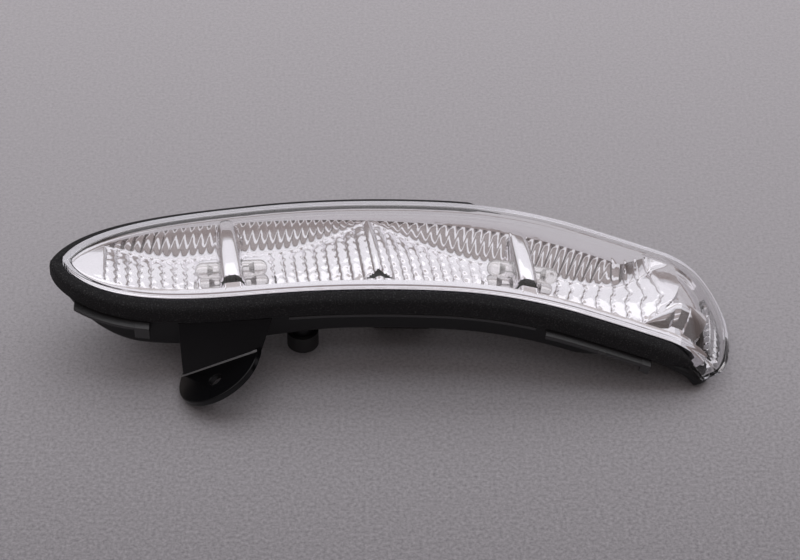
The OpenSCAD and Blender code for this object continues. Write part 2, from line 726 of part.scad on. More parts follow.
// Each lead leaves the diode's back, turns down under the rib and passes
// through a hole in the board.
function lead_back(n, side) =
    let (a = crown(lamp_s(n))[2], p = at(lamp_s(n), led_v, -led_low),
         back = lamps[n - 1][1] * seat_gap)
    [p[0] - back * cos(a), p[1] + side * lead_pitch / 2, p[2] - back * sin(a)];

function lead_turn(n, side) =
    let (a = crown(lamp_s(n))[2], p = lead_back(n, side), back = lamps[n - 1][1] * 1.2)
    [p[0] - back * cos(a), p[1], p[2] - back * sin(a)];

module led_leads(n) {
    color(tin)
        board_frame()
            for (side = [-1, 1])
                let (a = on_board(lead_back(n, side)), b = on_board(lead_turn(n, side))) {
                    rod(a, b + (b - a) / norm(b - a) * lead_r * 0.8, lead_r);
                    translate([b[0], b[1], -board_t - 1])
                        cylinder(h = b[2] + board_t + 1, r = lead_r);
                }
}

module circuit_board() {
    color(green)
        board_frame()
            difference() {
                box([-board_len / 2, -board_w / 2, -board_t], [board_len / 2, board_w / 2, 0]);
                for (n = [1 : 4], side = [-1, 1])
                    let (b = on_board(lead_turn(n, side)))
                    translate([b[0], b[1], -board_t - 1])
                        cylinder(h = board_t + 2, r = lead_r + fit_gap);
                for (x = screw_xs)
                    translate([x, 0, -board_t - 1])
                        cylinder(h = board_t + 2, r = screw_r + fit_gap);
                for (side = [-1, 1])
                    translate([plug_x + side * pin_pitch / 2, plug_y, -board_t / 2])
                        cube([pin_w + 2 * fit_gap, pin_w + 2 * fit_gap, board_t + 2], center = true);
            }
}

module board_screws() {
    color(tin)
        board_frame()
            for (x = screw_xs)
                translate([x, 0, 0])
                    difference() {
                        rotate_extrude()
                            polygon([[0, -board_t - 2.8], [screw_r, -board_t - 2.8], [screw_r, seat_gap],
                                [screw_r + 1, seat_gap], [screw_r + 1, 1], [screw_r + 0.6, 1.3], [0, 1.3]]);
                        for (turn = [0, 90])
                            rotate([0, 0, turn])
                                translate([0, 0, 1.2])
                                    cube([1.8, 0.35, 0.8], center = true);
                    }
}

module resistors() {
    color([0.12, 0.12, 0.13])
        board_frame()
            for (x = resistor_xs)
                box([x - 1.6, -6.2, seat_gap], [x + 1.6, 0.2, 0.65]);
}

module diode() {
    color([0.14, 0.14, 0.15])
        board_frame() {
            box([1.8, -4.2, 0.5], [6.2, -1.6, 2.4]);
            for (x = [0.9, 5.2])
                box([x, -3.6, seat_gap], [x + 1.9, -2.2, 0.7]);
        }
}

module capacitor() {
    color([0.62, 0.62, 0.64])
        board_frame()
            translate([-4, -3, 0]) {
                box([-3.3, -3.3, seat_gap], [3.3, 3.3, 0.8]);
                translate([0, 0, 0.4]) cylinder(h = 5.4, r = 3.1);
            }
}

// The connector fills an opening in the floor. Its core reaches up to the
// board, and its shroud stands on the table.
core_l = plug_l - 2 * plug_wall - 0.4;
core_w = plug_w - 2 * plug_wall - 0.4;
plug_top = min([for (x = [plug_x - plug_l / 2, plug_x + plug_l / 2], y = [plug_y - plug_w / 2, plug_y + plug_w / 2])
    above_board(x, y + board_y - mid_y(board_s(x)), floor_h(board_s(x)))]) - fit_gap;
plug_bottom = -(board_mid[2] + (plug_x + plug_l / 2) * sin(board_tilt)) / cos(board_tilt);

module plug_place() {
    board_frame() translate([plug_x, plug_y, 0]) children();
}

module connector_header() {
    base = plug_bottom + socket_d;
    color(black)
        plug_place()
            difference() {
                union() {
                    box([-core_l / 2, -core_w / 2, base + 1], [core_l / 2, core_w / 2, -board_t - seat_gap]);
                    box([-plug_l / 2, -plug_w / 2, plug_bottom], [plug_l / 2, plug_w / 2, plug_top]);
                    box([-2.2, plug_w / 2 - 0.5, plug_bottom + 1.5], [2.2, plug_w / 2 + 1.2, plug_bottom + 4]);
                }
                box([-plug_l / 2 + plug_wall, -plug_w / 2 + plug_wall, plug_bottom - 1],
                    [plug_l / 2 - plug_wall, plug_w / 2 - plug_wall, base]);
                for (side = [-1, 1])
                    box([side * pin_pitch / 2 - pin_w / 2 - seat_gap, -pin_w / 2 - seat_gap, base - 1],
                        [side * pin_pitch / 2 + pin_w / 2 + seat_gap, pin_w / 2 + seat_gap, 0]);
            }
}

module terminal(side) {
    color(tin)
        plug_place()
            box([side * pin_pitch / 2 - pin_w / 2, -pin_w / 2, plug_bottom + socket_d - pin_out],
                [side * pin_pitch / 2 + pin_w / 2, pin_w / 2, 1.2]);
}

// The clear end prism fills the lamp's end. Its toothed face follows the
// lens's end wall, its top rim seats on the housing's ledge, and its body
// hangs down into the end of the housing.
prism_gap = 0.5;
prism_from = -0.68 * half_w;
prism_to = 0.42 * half_w;
prism_top = -lens_t - 1;
teeth = 8;
tooth_d = 0.8;

// Station of the right end of the outline that lies off outside the lens, at v across
function end_s(v, off) =
    let (tail = v < 0 ? end_near : end_far)
    lens_len + off - (tail + off) * (1 - sqrt(1 - pow(v / (half_w + off), 2)));

module end_prism() {
    inner = refl_end + 1.2;
    low = floor_h(refl_end + refl_tail / 2) + wall + 1.4;
    n = 2 * teeth;
    rows = [for (i = [0 : n])
        let (v = prism_from + (prism_to - prism_from) * i / n,
             face = end_s(v, -lens_t - prism_gap - (i % 2) * tooth_d),
             body = end_s(v, -ledge_in - prism_gap))
        [at(inner, v, prism_top), at(face, v, prism_top), at(face, v, -lens_h), at(body, v, -lens_h),
         at(body, v, low), at(inner, v, low)]];
    color(clear)
        polyhedron([for (r = rows) for (q = r) q],
            concat(
                [for (i = [0 : n - 1], j = [0 : 5])
                    for (f = quad(6 * i + j, 6 * i + (j + 1) % 6, 6 * i + 6 + (j + 1) % 6, 6 * i + 6 + j,
                                  false)) f],
                [for (j = [1 : 4]) [0, j, j + 1]],
                [for (j = [1 : 4]) [6 * n, 6 * n + j + 1, 6 * n + j]]), convexity = 4);
}

housing();
lens();
gasket();
reflector();
end_prism();
led(1);  // led_1
led(2);  // led_2
led(3);  // led_3
led(4);  // led_4
led_leads(1);  // led_leads_1
led_leads(2);  // led_leads_2
led_leads(3);  // led_leads_3
led_leads(4);  // led_leads_4
circuit_board();
board_screws();
resistors();
diode();
capacitor();
connector_header();
terminal(-1);  // terminal_1
terminal(1);  // terminal_2
vent_cap();
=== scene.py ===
# %% [markdown]
# # A clear-lens indicator lamp from a door mirror
# The lamp is about 21 cm long. A clear, leaf-shaped lens covers a bright
# fluted reflector, a foam gasket runs round it, and a black housing with one
# folded screw bracket carries it all.
#
# Everything is packed into a long bent leaf, so each piece here is drawn in
# the same three bent coordinates: s along the crown of the lens, v across it,
# and h above it. One function turns them into a point in space, and every
# piece that follows the bend is made with it. The CAD model has the same
# pieces with few, flat faces. Here they get many small faces and smooth
# shading, because polished plastic shows every facet.

import math

import bmesh
import bpy
import numpy as np
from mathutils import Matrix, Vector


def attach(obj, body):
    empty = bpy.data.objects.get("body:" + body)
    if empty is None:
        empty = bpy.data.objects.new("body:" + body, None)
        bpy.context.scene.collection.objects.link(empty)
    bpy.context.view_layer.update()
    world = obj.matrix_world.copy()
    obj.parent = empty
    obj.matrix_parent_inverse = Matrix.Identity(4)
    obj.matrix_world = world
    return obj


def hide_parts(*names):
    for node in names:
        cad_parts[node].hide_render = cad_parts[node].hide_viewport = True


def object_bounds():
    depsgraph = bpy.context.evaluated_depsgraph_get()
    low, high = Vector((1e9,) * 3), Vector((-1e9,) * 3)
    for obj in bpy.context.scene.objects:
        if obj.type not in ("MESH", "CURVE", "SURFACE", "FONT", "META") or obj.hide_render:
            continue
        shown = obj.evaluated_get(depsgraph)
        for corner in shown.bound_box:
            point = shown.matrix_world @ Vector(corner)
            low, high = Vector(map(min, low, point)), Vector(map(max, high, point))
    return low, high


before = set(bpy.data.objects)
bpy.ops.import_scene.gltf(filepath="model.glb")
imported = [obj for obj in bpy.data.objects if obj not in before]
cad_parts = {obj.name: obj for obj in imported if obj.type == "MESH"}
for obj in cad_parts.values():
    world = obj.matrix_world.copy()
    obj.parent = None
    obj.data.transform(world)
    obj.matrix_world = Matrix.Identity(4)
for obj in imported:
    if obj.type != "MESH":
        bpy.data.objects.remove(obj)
cad_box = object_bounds()
MM = 0.001
print("nodes:", ", ".join(sorted(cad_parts)))

# %% [markdown]
# ## The camera
# The picture was taken with a long lens from about 42 degrees above the
# table. Far away, a camera hardly converges, so lengths on the object can be
# read from the picture: 3.2 pixels are one millimetre. The camera's shift
# puts the lamp a little left of and below the middle, as in the picture.

# %% Camera
EYE_UP = math.radians(42)
EYE_FAR = 0.8
AIM = (-0.00117, 0.00551, 0.015)

eye = bpy.data.cameras.new("eye")
eye.lens = 36 * 3.2 * EYE_FAR / MM / 800
eye.shift_x = 12 / 800
eye.shift_y = 16 / 800
eye.clip_start = 0.05
camera = bpy.data.objects.new("camera", eye)
bpy.context.scene.collection.objects.link(camera)
camera.location = (
    AIM[0],
    AIM[1] - EYE_FAR * math.cos(EYE_UP),
    AIM[2] + EYE_FAR * math.sin(EYE_UP),
)
camera.rotation_euler = (math.pi / 2 - EYE_UP, 0, 0)
bpy.context.scene.camera = camera
print("focal length", round(eye.lens, 1), "mm")

# %% [markdown]
# ## Bent coordinates
# The crown is a chain of arcs in the side view, nearly flat at the pointed
# tip and steep at the end that wraps round the mirror. In the top view it
# bows back. The numbers are those of the CAD source, in millimetres and
# degrees. numpy works on whole arrays of points at once, which keeps even a
# reflector of forty thousand faces quick.

# %% The crown line
TIP = (-101.07, 33.1, -1.2)
BENDS = [(58, 4.1), (60, -1.7), (45, -16.8), (26, -16.3), (27, -66)]
LENS_LEN = sum(b[0] for b in BENDS)
CROWN_R = 62
BOW_LEFT, BOW_RIGHT, BOW_S, BOW_Y = 580, 640, 93, 10.51


def arc(start, length, angle):
    """The end of an arc that starts at (x, z, slope), as x, z and slope in degrees."""
    a = np.radians(start[2])
    b = np.radians(angle)
    turn = (b - a) / np.where(np.abs(length) < 1e-9, 1e-9, length)
    flat = np.abs(turn) < 1e-9
    k = np.where(flat, 1, turn)
    x = np.where(flat, length * np.cos(b), (np.sin(b) - np.sin(a)) / k)
    z = np.where(flat, length * np.sin(b), -(np.cos(b) - np.cos(a)) / k)
    return start[0] + x, start[1] + z, angle


KNOTS = [TIP]
for run, slope in BENDS:
    KNOTS.append(tuple(float(q) for q in arc(KNOTS[-1], run, slope)))


def crown(s):
    """Place and slope of the crown at each station of s."""
    s = np.asarray(s, float)
    a = math.radians(TIP[2])
    x, z, deg = TIP[0] + s * math.cos(a), TIP[1] + s * math.sin(a), np.full(s.shape, TIP[2])
    start = 0
    for (run, slope), knot in zip(BENDS, KNOTS):
        inside = s > start
        part = np.clip(s - start, 1e-9, run)
        px, pz, pa = arc(knot, part, knot[2] + (slope - knot[2]) * part / run)
        x, z, deg = np.where(inside, px, x), np.where(inside, pz, z), np.where(inside, pa, deg)
        start += run
    past = np.maximum(s - LENS_LEN, 0)
    end = math.radians(BENDS[-1][1])
    return x + past * math.cos(end), z + past * math.sin(end), np.radians(deg)


def mid_y(s):
    return BOW_Y - (s - BOW_S) ** 2 / (2 * np.where(s < BOW_S, BOW_LEFT, BOW_RIGHT))


def at(s, v, h):
    """Points in millimetres: station s, v across the lamp, h above its crown."""
    s, v, h = np.broadcast_arrays(*(np.asarray(q, float) for q in (s, v, h)))
    x, z, a = crown(s)
    up = h - v * v / (2 * CROWN_R)
    return np.stack([x - np.sin(a) * up, mid_y(s) + v, z + np.cos(a) * up], -1)


print("right end of the crown:", at(LENS_LEN, 0, 0).round(1))

# %% The leaf outline
HALF_W, LEAF, TIP_BLUNT = 20.3, 82, 0.9
FILL = {-1: 4.4, 1: 3.9}
END = {-1: 6, 1: 17}


def swell(u, fill, roundness):
    return (1 - (1 - np.clip(u, 0, 1)) ** fill) ** (1 / roundness)


def width(s, off, side):
    """Half width of the outline that lies off outside the lens edge."""
    left = swell((s + off) / (LEAF + off), FILL[side], 1.5)
    right = swell((LENS_LEN + off - s) / (END[side] + off), 2, 2)
    return np.maximum((HALF_W + off) * left * right, TIP_BLUNT)


def eased(n):
    """n + 1 numbers from 0 to 1 that crowd together toward both ends."""
    u = np.arange(n + 1) / n
    return u - 0.75 * np.sin(2 * np.pi * u) / (2 * np.pi)


BARE, FADE_LEN = 0.25, 14
FADE = {-1: 196, 1: 132}


def out(off, s, side):
    """The overhang, which fades toward the bare right end."""
    if off <= 0:
        return np.full(np.shape(s), float(off))
    return off * (1 - (1 - BARE) * np.clip((s - FADE[side]) / FADE_LEN, 0, 1))


print("widest:", round(float(2 * width(np.array([100.0]), 0, -1)[0]), 1), "mm")

# %% [markdown]
# ## From numbers to a mesh
# A piece is a list of points and a list of faces. Smooth shading hides the
# facets of a polished surface, and set_sharp_from_angle keeps the real edges
# crisp: a face pair that meets at more than the given angle isn't blended.

# %% Mesh helpers
def piece(name, points, faces, finish, slot, sharp=35):
    """A new object from points in millimetres, which rides on the lamp."""
    mesh = bpy.data.meshes.new(name)
    points = np.clip(np.asarray(points) * MM, *cad_box)
    mesh.from_pydata(points.tolist(), [], [list(map(int, f)) for f in faces])
    mesh.validate()
    work = bmesh.new()
    work.from_mesh(mesh)
    bmesh.ops.recalc_face_normals(work, faces=work.faces)
    work.to_mesh(mesh)
    work.free()
    mesh.shade_smooth()
    mesh.set_sharp_from_angle(angle=math.radians(sharp))
    obj = bpy.data.objects.new(name, mesh)
    bpy.context.scene.collection.objects.link(obj)
    mesh.materials.append(finish)
    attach(obj, "root")
    return obj


def grid_faces(rows, cols, start=0, turned=False):
    """Faces of a grid of points that are numbered row by row."""
    i, j = np.meshgrid(np.arange(rows - 1), np.arange(cols - 1), indexing="ij")
    a = (start + i * cols + j).ravel()
    quads = np.stack([a, a + cols, a + cols + 1, a + 1], -1)
    return quads[:, ::-1] if turned else quads


def tube_faces(rows, cols, start=0, turned=False):
    """The same for rings: the last point of each row meets the first."""
    i, j = np.meshgrid(np.arange(rows - 1), np.arange(cols), indexing="ij")
    a = start + i * cols
    j2 = (j + 1) % cols
    quads = np.stack([a + j, a + cols + j, a + cols + j2, a + j2], -1).reshape(-1, 4)
    return quads[:, ::-1] if turned else quads


# %% A shell with one open side
WALL_RISE, DEEP_1, MID_RISE = 8.6, 24, 2.8
DEEP_2, DEEP_3 = (36, 88), (162, 182)


def eased_step(s, ends):
    u = np.clip((s - ends[0]) / (ends[1] - ends[0]), 0, 1)
    return u * u * (3 - 2 * u)


def rise(s):
    """How much shallower the housing is toward both ends."""
    left = np.minimum(1.16 * WALL_RISE * (1 - np.clip(s / DEEP_1, 0, 1)) ** 2, WALL_RISE)
    right = MID_RISE * eased_step(s, DEEP_2) + (WALL_RISE - MID_RISE) * eased_step(s, DEEP_3)
    return np.where(s < DEEP_1, left, right)


def ring(off, h, lift, n):
    """The outline that lies off outside the lens: near side to the right, far side back."""
    s = -off + (LENS_LEN + off + (off * BARE if off > 0 else off)) * eased(n)
    sides = []
    for side in (-1, 1):
        v = side * width(s, out(off, s, side), side)
        sides.append(at(s, v, h + lift * rise(s)))
    return np.concatenate([sides[0], sides[1][::-1]])


def cap(off, h, lift, n, parts):
    """The inside of such an outline, as rows across the lamp."""
    s = -off + (LENS_LEN + off + (off * BARE if off > 0 else off)) * eased(n)
    s = s[1:-1, None]
    near, far = -width(s, off, -1), width(s, off, 1)
    v = near + (far - near) * np.arange(1, parts) / parts
    return at(s, v, h + lift * rise(s)).reshape(-1, 3)


def cap_faces(n, parts, base, fill, turned):
    """Faces between a ring, which starts at base, and the inner rows, at fill."""
    size = 2 * n + 2
    number = np.empty((n + 1, parts + 1), int)
    number[:, 0] = base + np.arange(n + 1)
    number[:, -1] = base + size - 1 - np.arange(n + 1)
    number[1:-1, 1:-1] = fill + np.arange((n - 1) * (parts - 1)).reshape(n - 1, parts - 1)
    faces = []
    for i in range(1, n - 1):
        for j in range(parts):
            faces.append([number[i, j], number[i + 1, j], number[i + 1, j + 1], number[i, j + 1]])
    faces.append([number[0, 0]] + number[1, :].tolist() + [number[0, -1]])
    faces.append([number[n, -1]] + number[n - 1, ::-1].tolist() + [number[n, 0]])
    return [f[::-1] for f in faces] if turned else faces


def shell(profile, n, parts):
    """A closed shell. Its profile runs from the middle of one face round the rim to the other."""
    rings = [ring(*p, n) for p in profile]
    size, last = 2 * n + 2, len(profile) - 1
    points = rings + [cap(*profile[0], n, parts), cap(*profile[last], n, parts)]
    fill = (last + 1) * size
    faces = tube_faces(last + 1, size).tolist()
    faces += cap_faces(n, parts, 0, fill, True)
    faces += cap_faces(n, parts, last * size, fill + (n - 1) * (parts - 1), False)
    return np.concatenate(points), faces


def rounded(profile, sizes, steps=4):
    """The same profile with round corners: sizes gives each corner's cut back."""
    p = np.array(profile, float)
    made = [p[0]]
    for i in range(1, len(p) - 1):
        cut = sizes[i]
        if not cut:
            made.append(p[i])
            continue
        a, b = p[i - 1, :2] - p[i, :2], p[i + 1, :2] - p[i, :2]
        a = (p[i - 1] - p[i]) * min(cut / np.linalg.norm(a), 0.48)
        b = (p[i + 1] - p[i]) * min(cut / np.linalg.norm(b), 0.48)
        for t in np.linspace(0, 1, steps + 1):
            made.append(p[i] + a * (1 - t) ** 2 + b * t**2)
    made.append(p[-1])
    return [tuple(q) for q in made]


print("shell and ring helpers are ready")

# %% [markdown]
# ## Shader maths as expressions
# A material is a graph of nodes. Written node by node it is long and hard to
# read, so a small class wraps one socket, and +, -, * and / on it add the
# Math nodes. Any other node comes from one method that takes the node's
# type, its settings and the values or links of its sockets.

# %% Sockets that can be added up
def plug(tree, socket, value):
    """Links a wrapped socket into another one, or sets a plain value."""
    if isinstance(value, Wire):
        tree.links.new(value.socket, socket)
    else:
        socket.default_value = value


class Wire:
    """One output socket of a node tree."""

    def __init__(self, tree, socket):
        self.tree, self.socket = tree, socket

    def maths(self, operation, first, second):
        node = self.tree.nodes.new("ShaderNodeMath")
        node.operation = operation
        plug(self.tree, node.inputs[0], first)
        plug(self.tree, node.inputs[1], second)
        return Wire(self.tree, node.outputs[0])

    def __add__(self, other):
        return self.maths("ADD", self, other)

    def __sub__(self, other):
        return self.maths("SUBTRACT", self, other)

    def __rsub__(self, other):
        return self.maths("SUBTRACT", other, self)

    def __mul__(self, other):
        return self.maths("MULTIPLY", self, other)

    def __truediv__(self, other):
        return self.maths("DIVIDE", self, other)

    def __rtruediv__(self, other):
        return self.maths("DIVIDE", other, self)

    __radd__ = __add__
    __rmul__ = __mul__


class Finish:
    """A material with its Principled shader, and one method that adds any node."""

    def __init__(self, name, color, rough, **sockets):
        self.material = bpy.data.materials.new(name)
        self.material.use_nodes = True
        self.tree = self.material.node_tree
        self.shader = self.tree.nodes["Principled BSDF"]
        self.end = self.tree.nodes["Material Output"]
        self.set("Base Color", (*color, 1))
        self.set("Roughness", rough)
        for socket, value in sockets.items():
            self.set(socket.replace("_", " "), value)

    def set(self, socket, value):
        plug(self.tree, self.shader.inputs[socket], value)

    def node(self, kind, settings=None, **sockets):
        node = self.tree.nodes.new("ShaderNode" + kind)
        output = 0
        for key, value in (settings or {}).items():
            if key == "stops":
                ramp = node.color_ramp
                while len(ramp.elements) < len(value):
                    ramp.elements.new(0.5)
                for element, (place, tone) in zip(ramp.elements, value):
                    element.position, element.color = place, tone
            elif key == "output":
                output = value
            else:
                setattr(node, key, value)
        for key, value in sockets.items():
            plug(self.tree, node.inputs[key.replace("_", " ")], value)
        return Wire(self.tree, node.outputs[output])

    def place(self):
        """The point in the object's own metres."""
        return self.node("TexCoord", {"output": "Object"})

    def noise(self, scale, detail=2.0, rough=0.5, stretch=None):
        where = self.place()
        if stretch:
            where = self.node("Mapping", Vector=where, Scale=stretch)
        return self.node("TexNoise", {"output": 0}, Vector=where, Scale=scale, Detail=detail, Roughness=rough)

    def grain(self, height, depth, strength=1.0):
        """Bump of a real depth in metres."""
        self.set("Normal", self.node("Bump", Height=height, Distance=depth, Strength=strength))


print("shader helpers are ready")

# %% [markdown]
# ## Clear plastic
# The lens is acrylic: it lets nearly all light through, bends it a little and
# mirrors some at a low angle. Real refraction gives the bright double line
# along its thick edge for nothing. Refraction alone would keep the lamps'
# light out, because a lamp is found by a straight shadow ray. The Light Path
# node swaps the glass for a plain see-through surface for those rays only.

# %% Clear finishes
def clear_finish(name, color, rough, ior):
    paint = Finish(name, color, rough, Transmission_Weight=1.0, IOR=ior)
    hole = paint.node("BsdfTransparent", Color=(0.94, 0.94, 0.95, 1))
    shadow = paint.node("LightPath", {"output": "Is Shadow Ray"})
    both = paint.tree.nodes.new("ShaderNodeMixShader")
    plug(paint.tree, both.inputs[0], shadow)
    paint.tree.links.new(paint.shader.outputs[0], both.inputs[1])
    plug(paint.tree, both.inputs[2], hole)
    paint.tree.links.new(both.outputs[0], paint.end.inputs["Surface"])
    return paint


lens_paint = clear_finish("clear_acrylic", (0.985, 0.98, 0.99), 0.01, 1.46)
prism_paint = clear_finish("clear_prism", (0.96, 0.96, 0.97), 0.03, 1.46)
epoxy_paint = clear_finish("clear_epoxy", (0.97, 0.96, 0.94), 0.05, 1.5)
epoxy_paint.set("Transmission Weight", 0.86)
print("clear finishes:", lens_paint.material.name, prism_paint.material.name, epoxy_paint.material.name)

# %% [markdown]
# ## Bright metal coat
# The reflector is plastic with a thin vapour-laid mirror of aluminium. It has
# no grain, but the moulding under it is never quite flat, so long soft waves
# make the reflections wander.

# %% Metal coat
chrome_paint = Finish("bright_coat", (0.88, 0.865, 0.885), 0.02, Metallic=1.0)
waves = chrome_paint.noise(330, 1.0)
chrome_paint.grain(waves, 0.00009, 0.4)
cloud = chrome_paint.noise(90, 3.0)
chrome_paint.set("Roughness", cloud * 0.03)

# %% [markdown]
# ## Black plastic and foam
# The housing is moulded with a light texture and shines softly. The bracket
# is smoother. The gasket is closed-cell foam: dull, with fine pores and some
# paler specks.

# %% Black finishes
def black_finish(name, rough, grain_scale, depth):
    paint = Finish(name, (0.006, 0.006, 0.007), rough, Specular_IOR_Level=0.35)
    fine = paint.noise(grain_scale, 3.0)
    broad = paint.noise(60, 2.0)
    paint.grain(fine, depth, 0.6)
    paint.set("Roughness", rough - 0.08 + broad * 0.16)
    return paint


housing_paint = black_finish("black_housing", 0.34, 2600, 0.00003)
bracket_paint = black_finish("black_bracket", 0.17, 900, 0.00002)
# The catches, hooks and wall bead are painted a paler grey than the housing: a painted highlight for the light lines
# along their tops.
catch_highlight_paint = black_finish("dark_catch_painted_highlight", 0.25, 1800, 0.00003)
catch_highlight_paint.set("Base Color", (0.035, 0.035, 0.037, 1))
catch_highlight_paint.set("Specular IOR Level", 0.7)

foam_paint = Finish("black_foam", (0.02, 0.02, 0.021), 0.95)
pores = foam_paint.noise(1500, 4.0, 0.7)
specks = foam_paint.noise(2600, 2.0, 0.6)
tone = foam_paint.node(
    "ValToRGB",
    {"stops": [(0.0, (0.010, 0.010, 0.011, 1)), (0.55, (0.020, 0.020, 0.022, 1)), (0.72, (0.085, 0.083, 0.085, 1))]},
    Fac=specks,
)
foam_paint.set("Base Color", tone)
foam_paint.grain(pores, 0.00035, 0.9)
print("black finishes are ready")

# %% Small parts' finishes
def plain_finish(name, color, rough, metal=0.0, scale=500, swing=0.12, depth=0.00002):
    """A colour that varies a little in tone and gloss, as a real surface does."""
    paint = Finish(name, color, rough, Metallic=metal)
    soft = paint.noise(scale, 3.0)
    dark = tuple(c * (1 - swing) for c in color) + (1,)
    pale = tuple(min(c * (1 + swing), 1) for c in color) + (1,)
    paint.set("Base Color", paint.node("ValToRGB", {"stops": [(0.3, dark), (0.7, pale)]}, Fac=soft))
    paint.set("Roughness", rough - 0.05 + soft * 0.1)
    paint.grain(soft, depth, 0.5)
    return paint


board_paint = plain_finish("green_mask", (0.02, 0.07, 0.035), 0.35, scale=1400)
lead_paint = plain_finish("tinned_wire", (0.62, 0.61, 0.6), 0.25, 1.0)
screw_paint = plain_finish("plated_steel", (0.5, 0.5, 0.51), 0.3, 1.0)
can_paint = plain_finish("aluminium_can", (0.6, 0.6, 0.62), 0.28, 1.0)
chip_paint = plain_finish("black_chip", (0.012, 0.012, 0.013), 0.55)
cap_paint = plain_finish("black_rubber", (0.012, 0.012, 0.012), 0.6, scale=1800)
header_paint = plain_finish("black_header", (0.012, 0.012, 0.013), 0.42, scale=1800)
for name, paint in {
    "circuit_board": board_paint,
    "board_screws": screw_paint,
    "resistors": chip_paint,
    "diode": chip_paint,
    "capacitor": can_paint,
    "connector_header": header_paint,
    "terminal_1": lead_paint,
    "terminal_2": lead_paint,
    "vent_cap": cap_paint,
    "led_1": epoxy_paint,
    "led_2": epoxy_paint,
    "led_3": epoxy_paint,
    "led_4": epoxy_paint,
    "end_prism": prism_paint,
    "led_leads_1": lead_paint,
    "led_leads_2": lead_paint,
    "led_leads_3": lead_paint,
    "led_leads_4": lead_paint,
}.items():
    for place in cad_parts[name].material_slots:
        place.material = paint.material
print("small parts are painted")

# %% [markdown]
# ## The lens
# A crowned leaf, 2 mm thick, with a wall down to the weld. The CAD lens has
# flat faces 5 mm long, which a clear piece would show at once. This one has
# 260 stations along each side and a rolled edge, so it replaces the CAD one.

# %% Lens
LENS_T, LENS_H = 2, 6
lens_profile = rounded(
    [(-1.4, 0, 0), (0, 0, 0), (0, -LENS_H, 0), (-LENS_T, -LENS_H, 0), (-LENS_T, -LENS_T, 0), (-3.6, -LENS_T, 0)],
    [0, 0.6, 0.15, 0.15, 0.8, 0],
    6,
)
lens = piece("lens_clear", *shell(lens_profile, 260, 26), lens_paint.material, "lens", 50)
# The foot of the lens wall gets a pale hazed finish and a painted glow: a faint emission stands in for the light a
# clear edge gathers from the whole lens, though it is no lamp.
weld_haze_and_glow_paint = Finish("hazed_weld_edge_painted_glow", (0.74, 0.73, 0.77), 0.5)
weld_haze_and_glow_paint.grain(weld_haze_and_glow_paint.noise(1500, 2.0), 0.00002, 0.5)
weld_haze_and_glow_paint.set("Emission Color", (0.8, 0.78, 0.84, 1))
weld_haze_and_glow_paint.set("Emission Strength", 0.4)
lens.data.materials.append(weld_haze_and_glow_paint.material)
size = 2 * 260 + 2
weld = {i for i, p in enumerate(lens_profile) if p[1] < 0.25 - LENS_H}
for face in lens.data.polygons:
    far_side = min(v % size for v in face.vertices) > 260
    face.material_index = int((far_side or face.center.x < 0.078) and all(v // size in weld for v in face.vertices))
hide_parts("lens")
print("lens faces:", len(lens.data.polygons))

# %% [markdown]
# ## The foam gasket
# A strip of foam lies round the lens, from the end on the near side, round
# the tip and back along the far side. It is cut from a sheet, so its top is
# flat with a soft edge, and it thins out where it ends.

# %% Gasket
FOAM_GAP, GASKET_W, GASKET_TOP = 0.16, 3.9, -1.0


def strip(profile, near_end, far_end, half):
    """A closed profile carried round the lamp, with both its ends shut."""
    profile = np.array(profile, float)
    rows = []
    for side, end in ((-1, near_end), (1, far_end)):
        u = eased(half)[::-1] if side < 0 else eased(half)
        for k in u:
            s = -profile[:, 0] + (end + profile[:, 0]) * k
            thin = np.minimum(1, 0.15 + (end - s) / FADE_LEN)
            v = side * width(s, FOAM_GAP + (profile[:, 0] - FOAM_GAP) * thin, side)
            rows.append(at(s, v, (profile[:, 1] + LENS_H) * (0.3 + 0.7 * thin) - LENS_H))
    n = len(profile)
    faces = tube_faces(len(rows), n, turned=False).tolist()
    faces += [list(range(n)), list(range(n * len(rows) - 1, n * len(rows) - n - 1, -1))]
    return np.concatenate(rows), faces


far_off = FOAM_GAP + GASKET_W
foam_profile = [(FOAM_GAP, -5.95), (FOAM_GAP, -3.4), (FOAM_GAP, -1.9), (FOAM_GAP + 0.25, -1.35), (FOAM_GAP + 0.9, -1.0)]
foam_profile += [(FOAM_GAP + q, -1.0) for q in (1.5, 2.1, 2.7)] + [(far_off - 0.6, -1.1), (far_off - 0.2, -1.5)]
foam_profile += [(far_off, -2.1), (far_off, -3.4), (far_off, -4.7), (far_off, -5.95), (far_off - 1.9, -5.95)]
gasket = piece("gasket_foam", *strip(foam_profile, 202, 138, 420), foam_paint.material, "foam", 80)
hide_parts("gasket")
print("gasket faces:", len(gasket.data.polygons))

# %% [markdown]
# ## The housing
# One black moulding: a thin wall follows the lens, a flange under the gasket
# carries the weld, and the floor rises toward both ends. It is the same kind
# of shell as the lens, only deeper, and its profile has small round corners,
# because a moulded edge is never quite sharp.

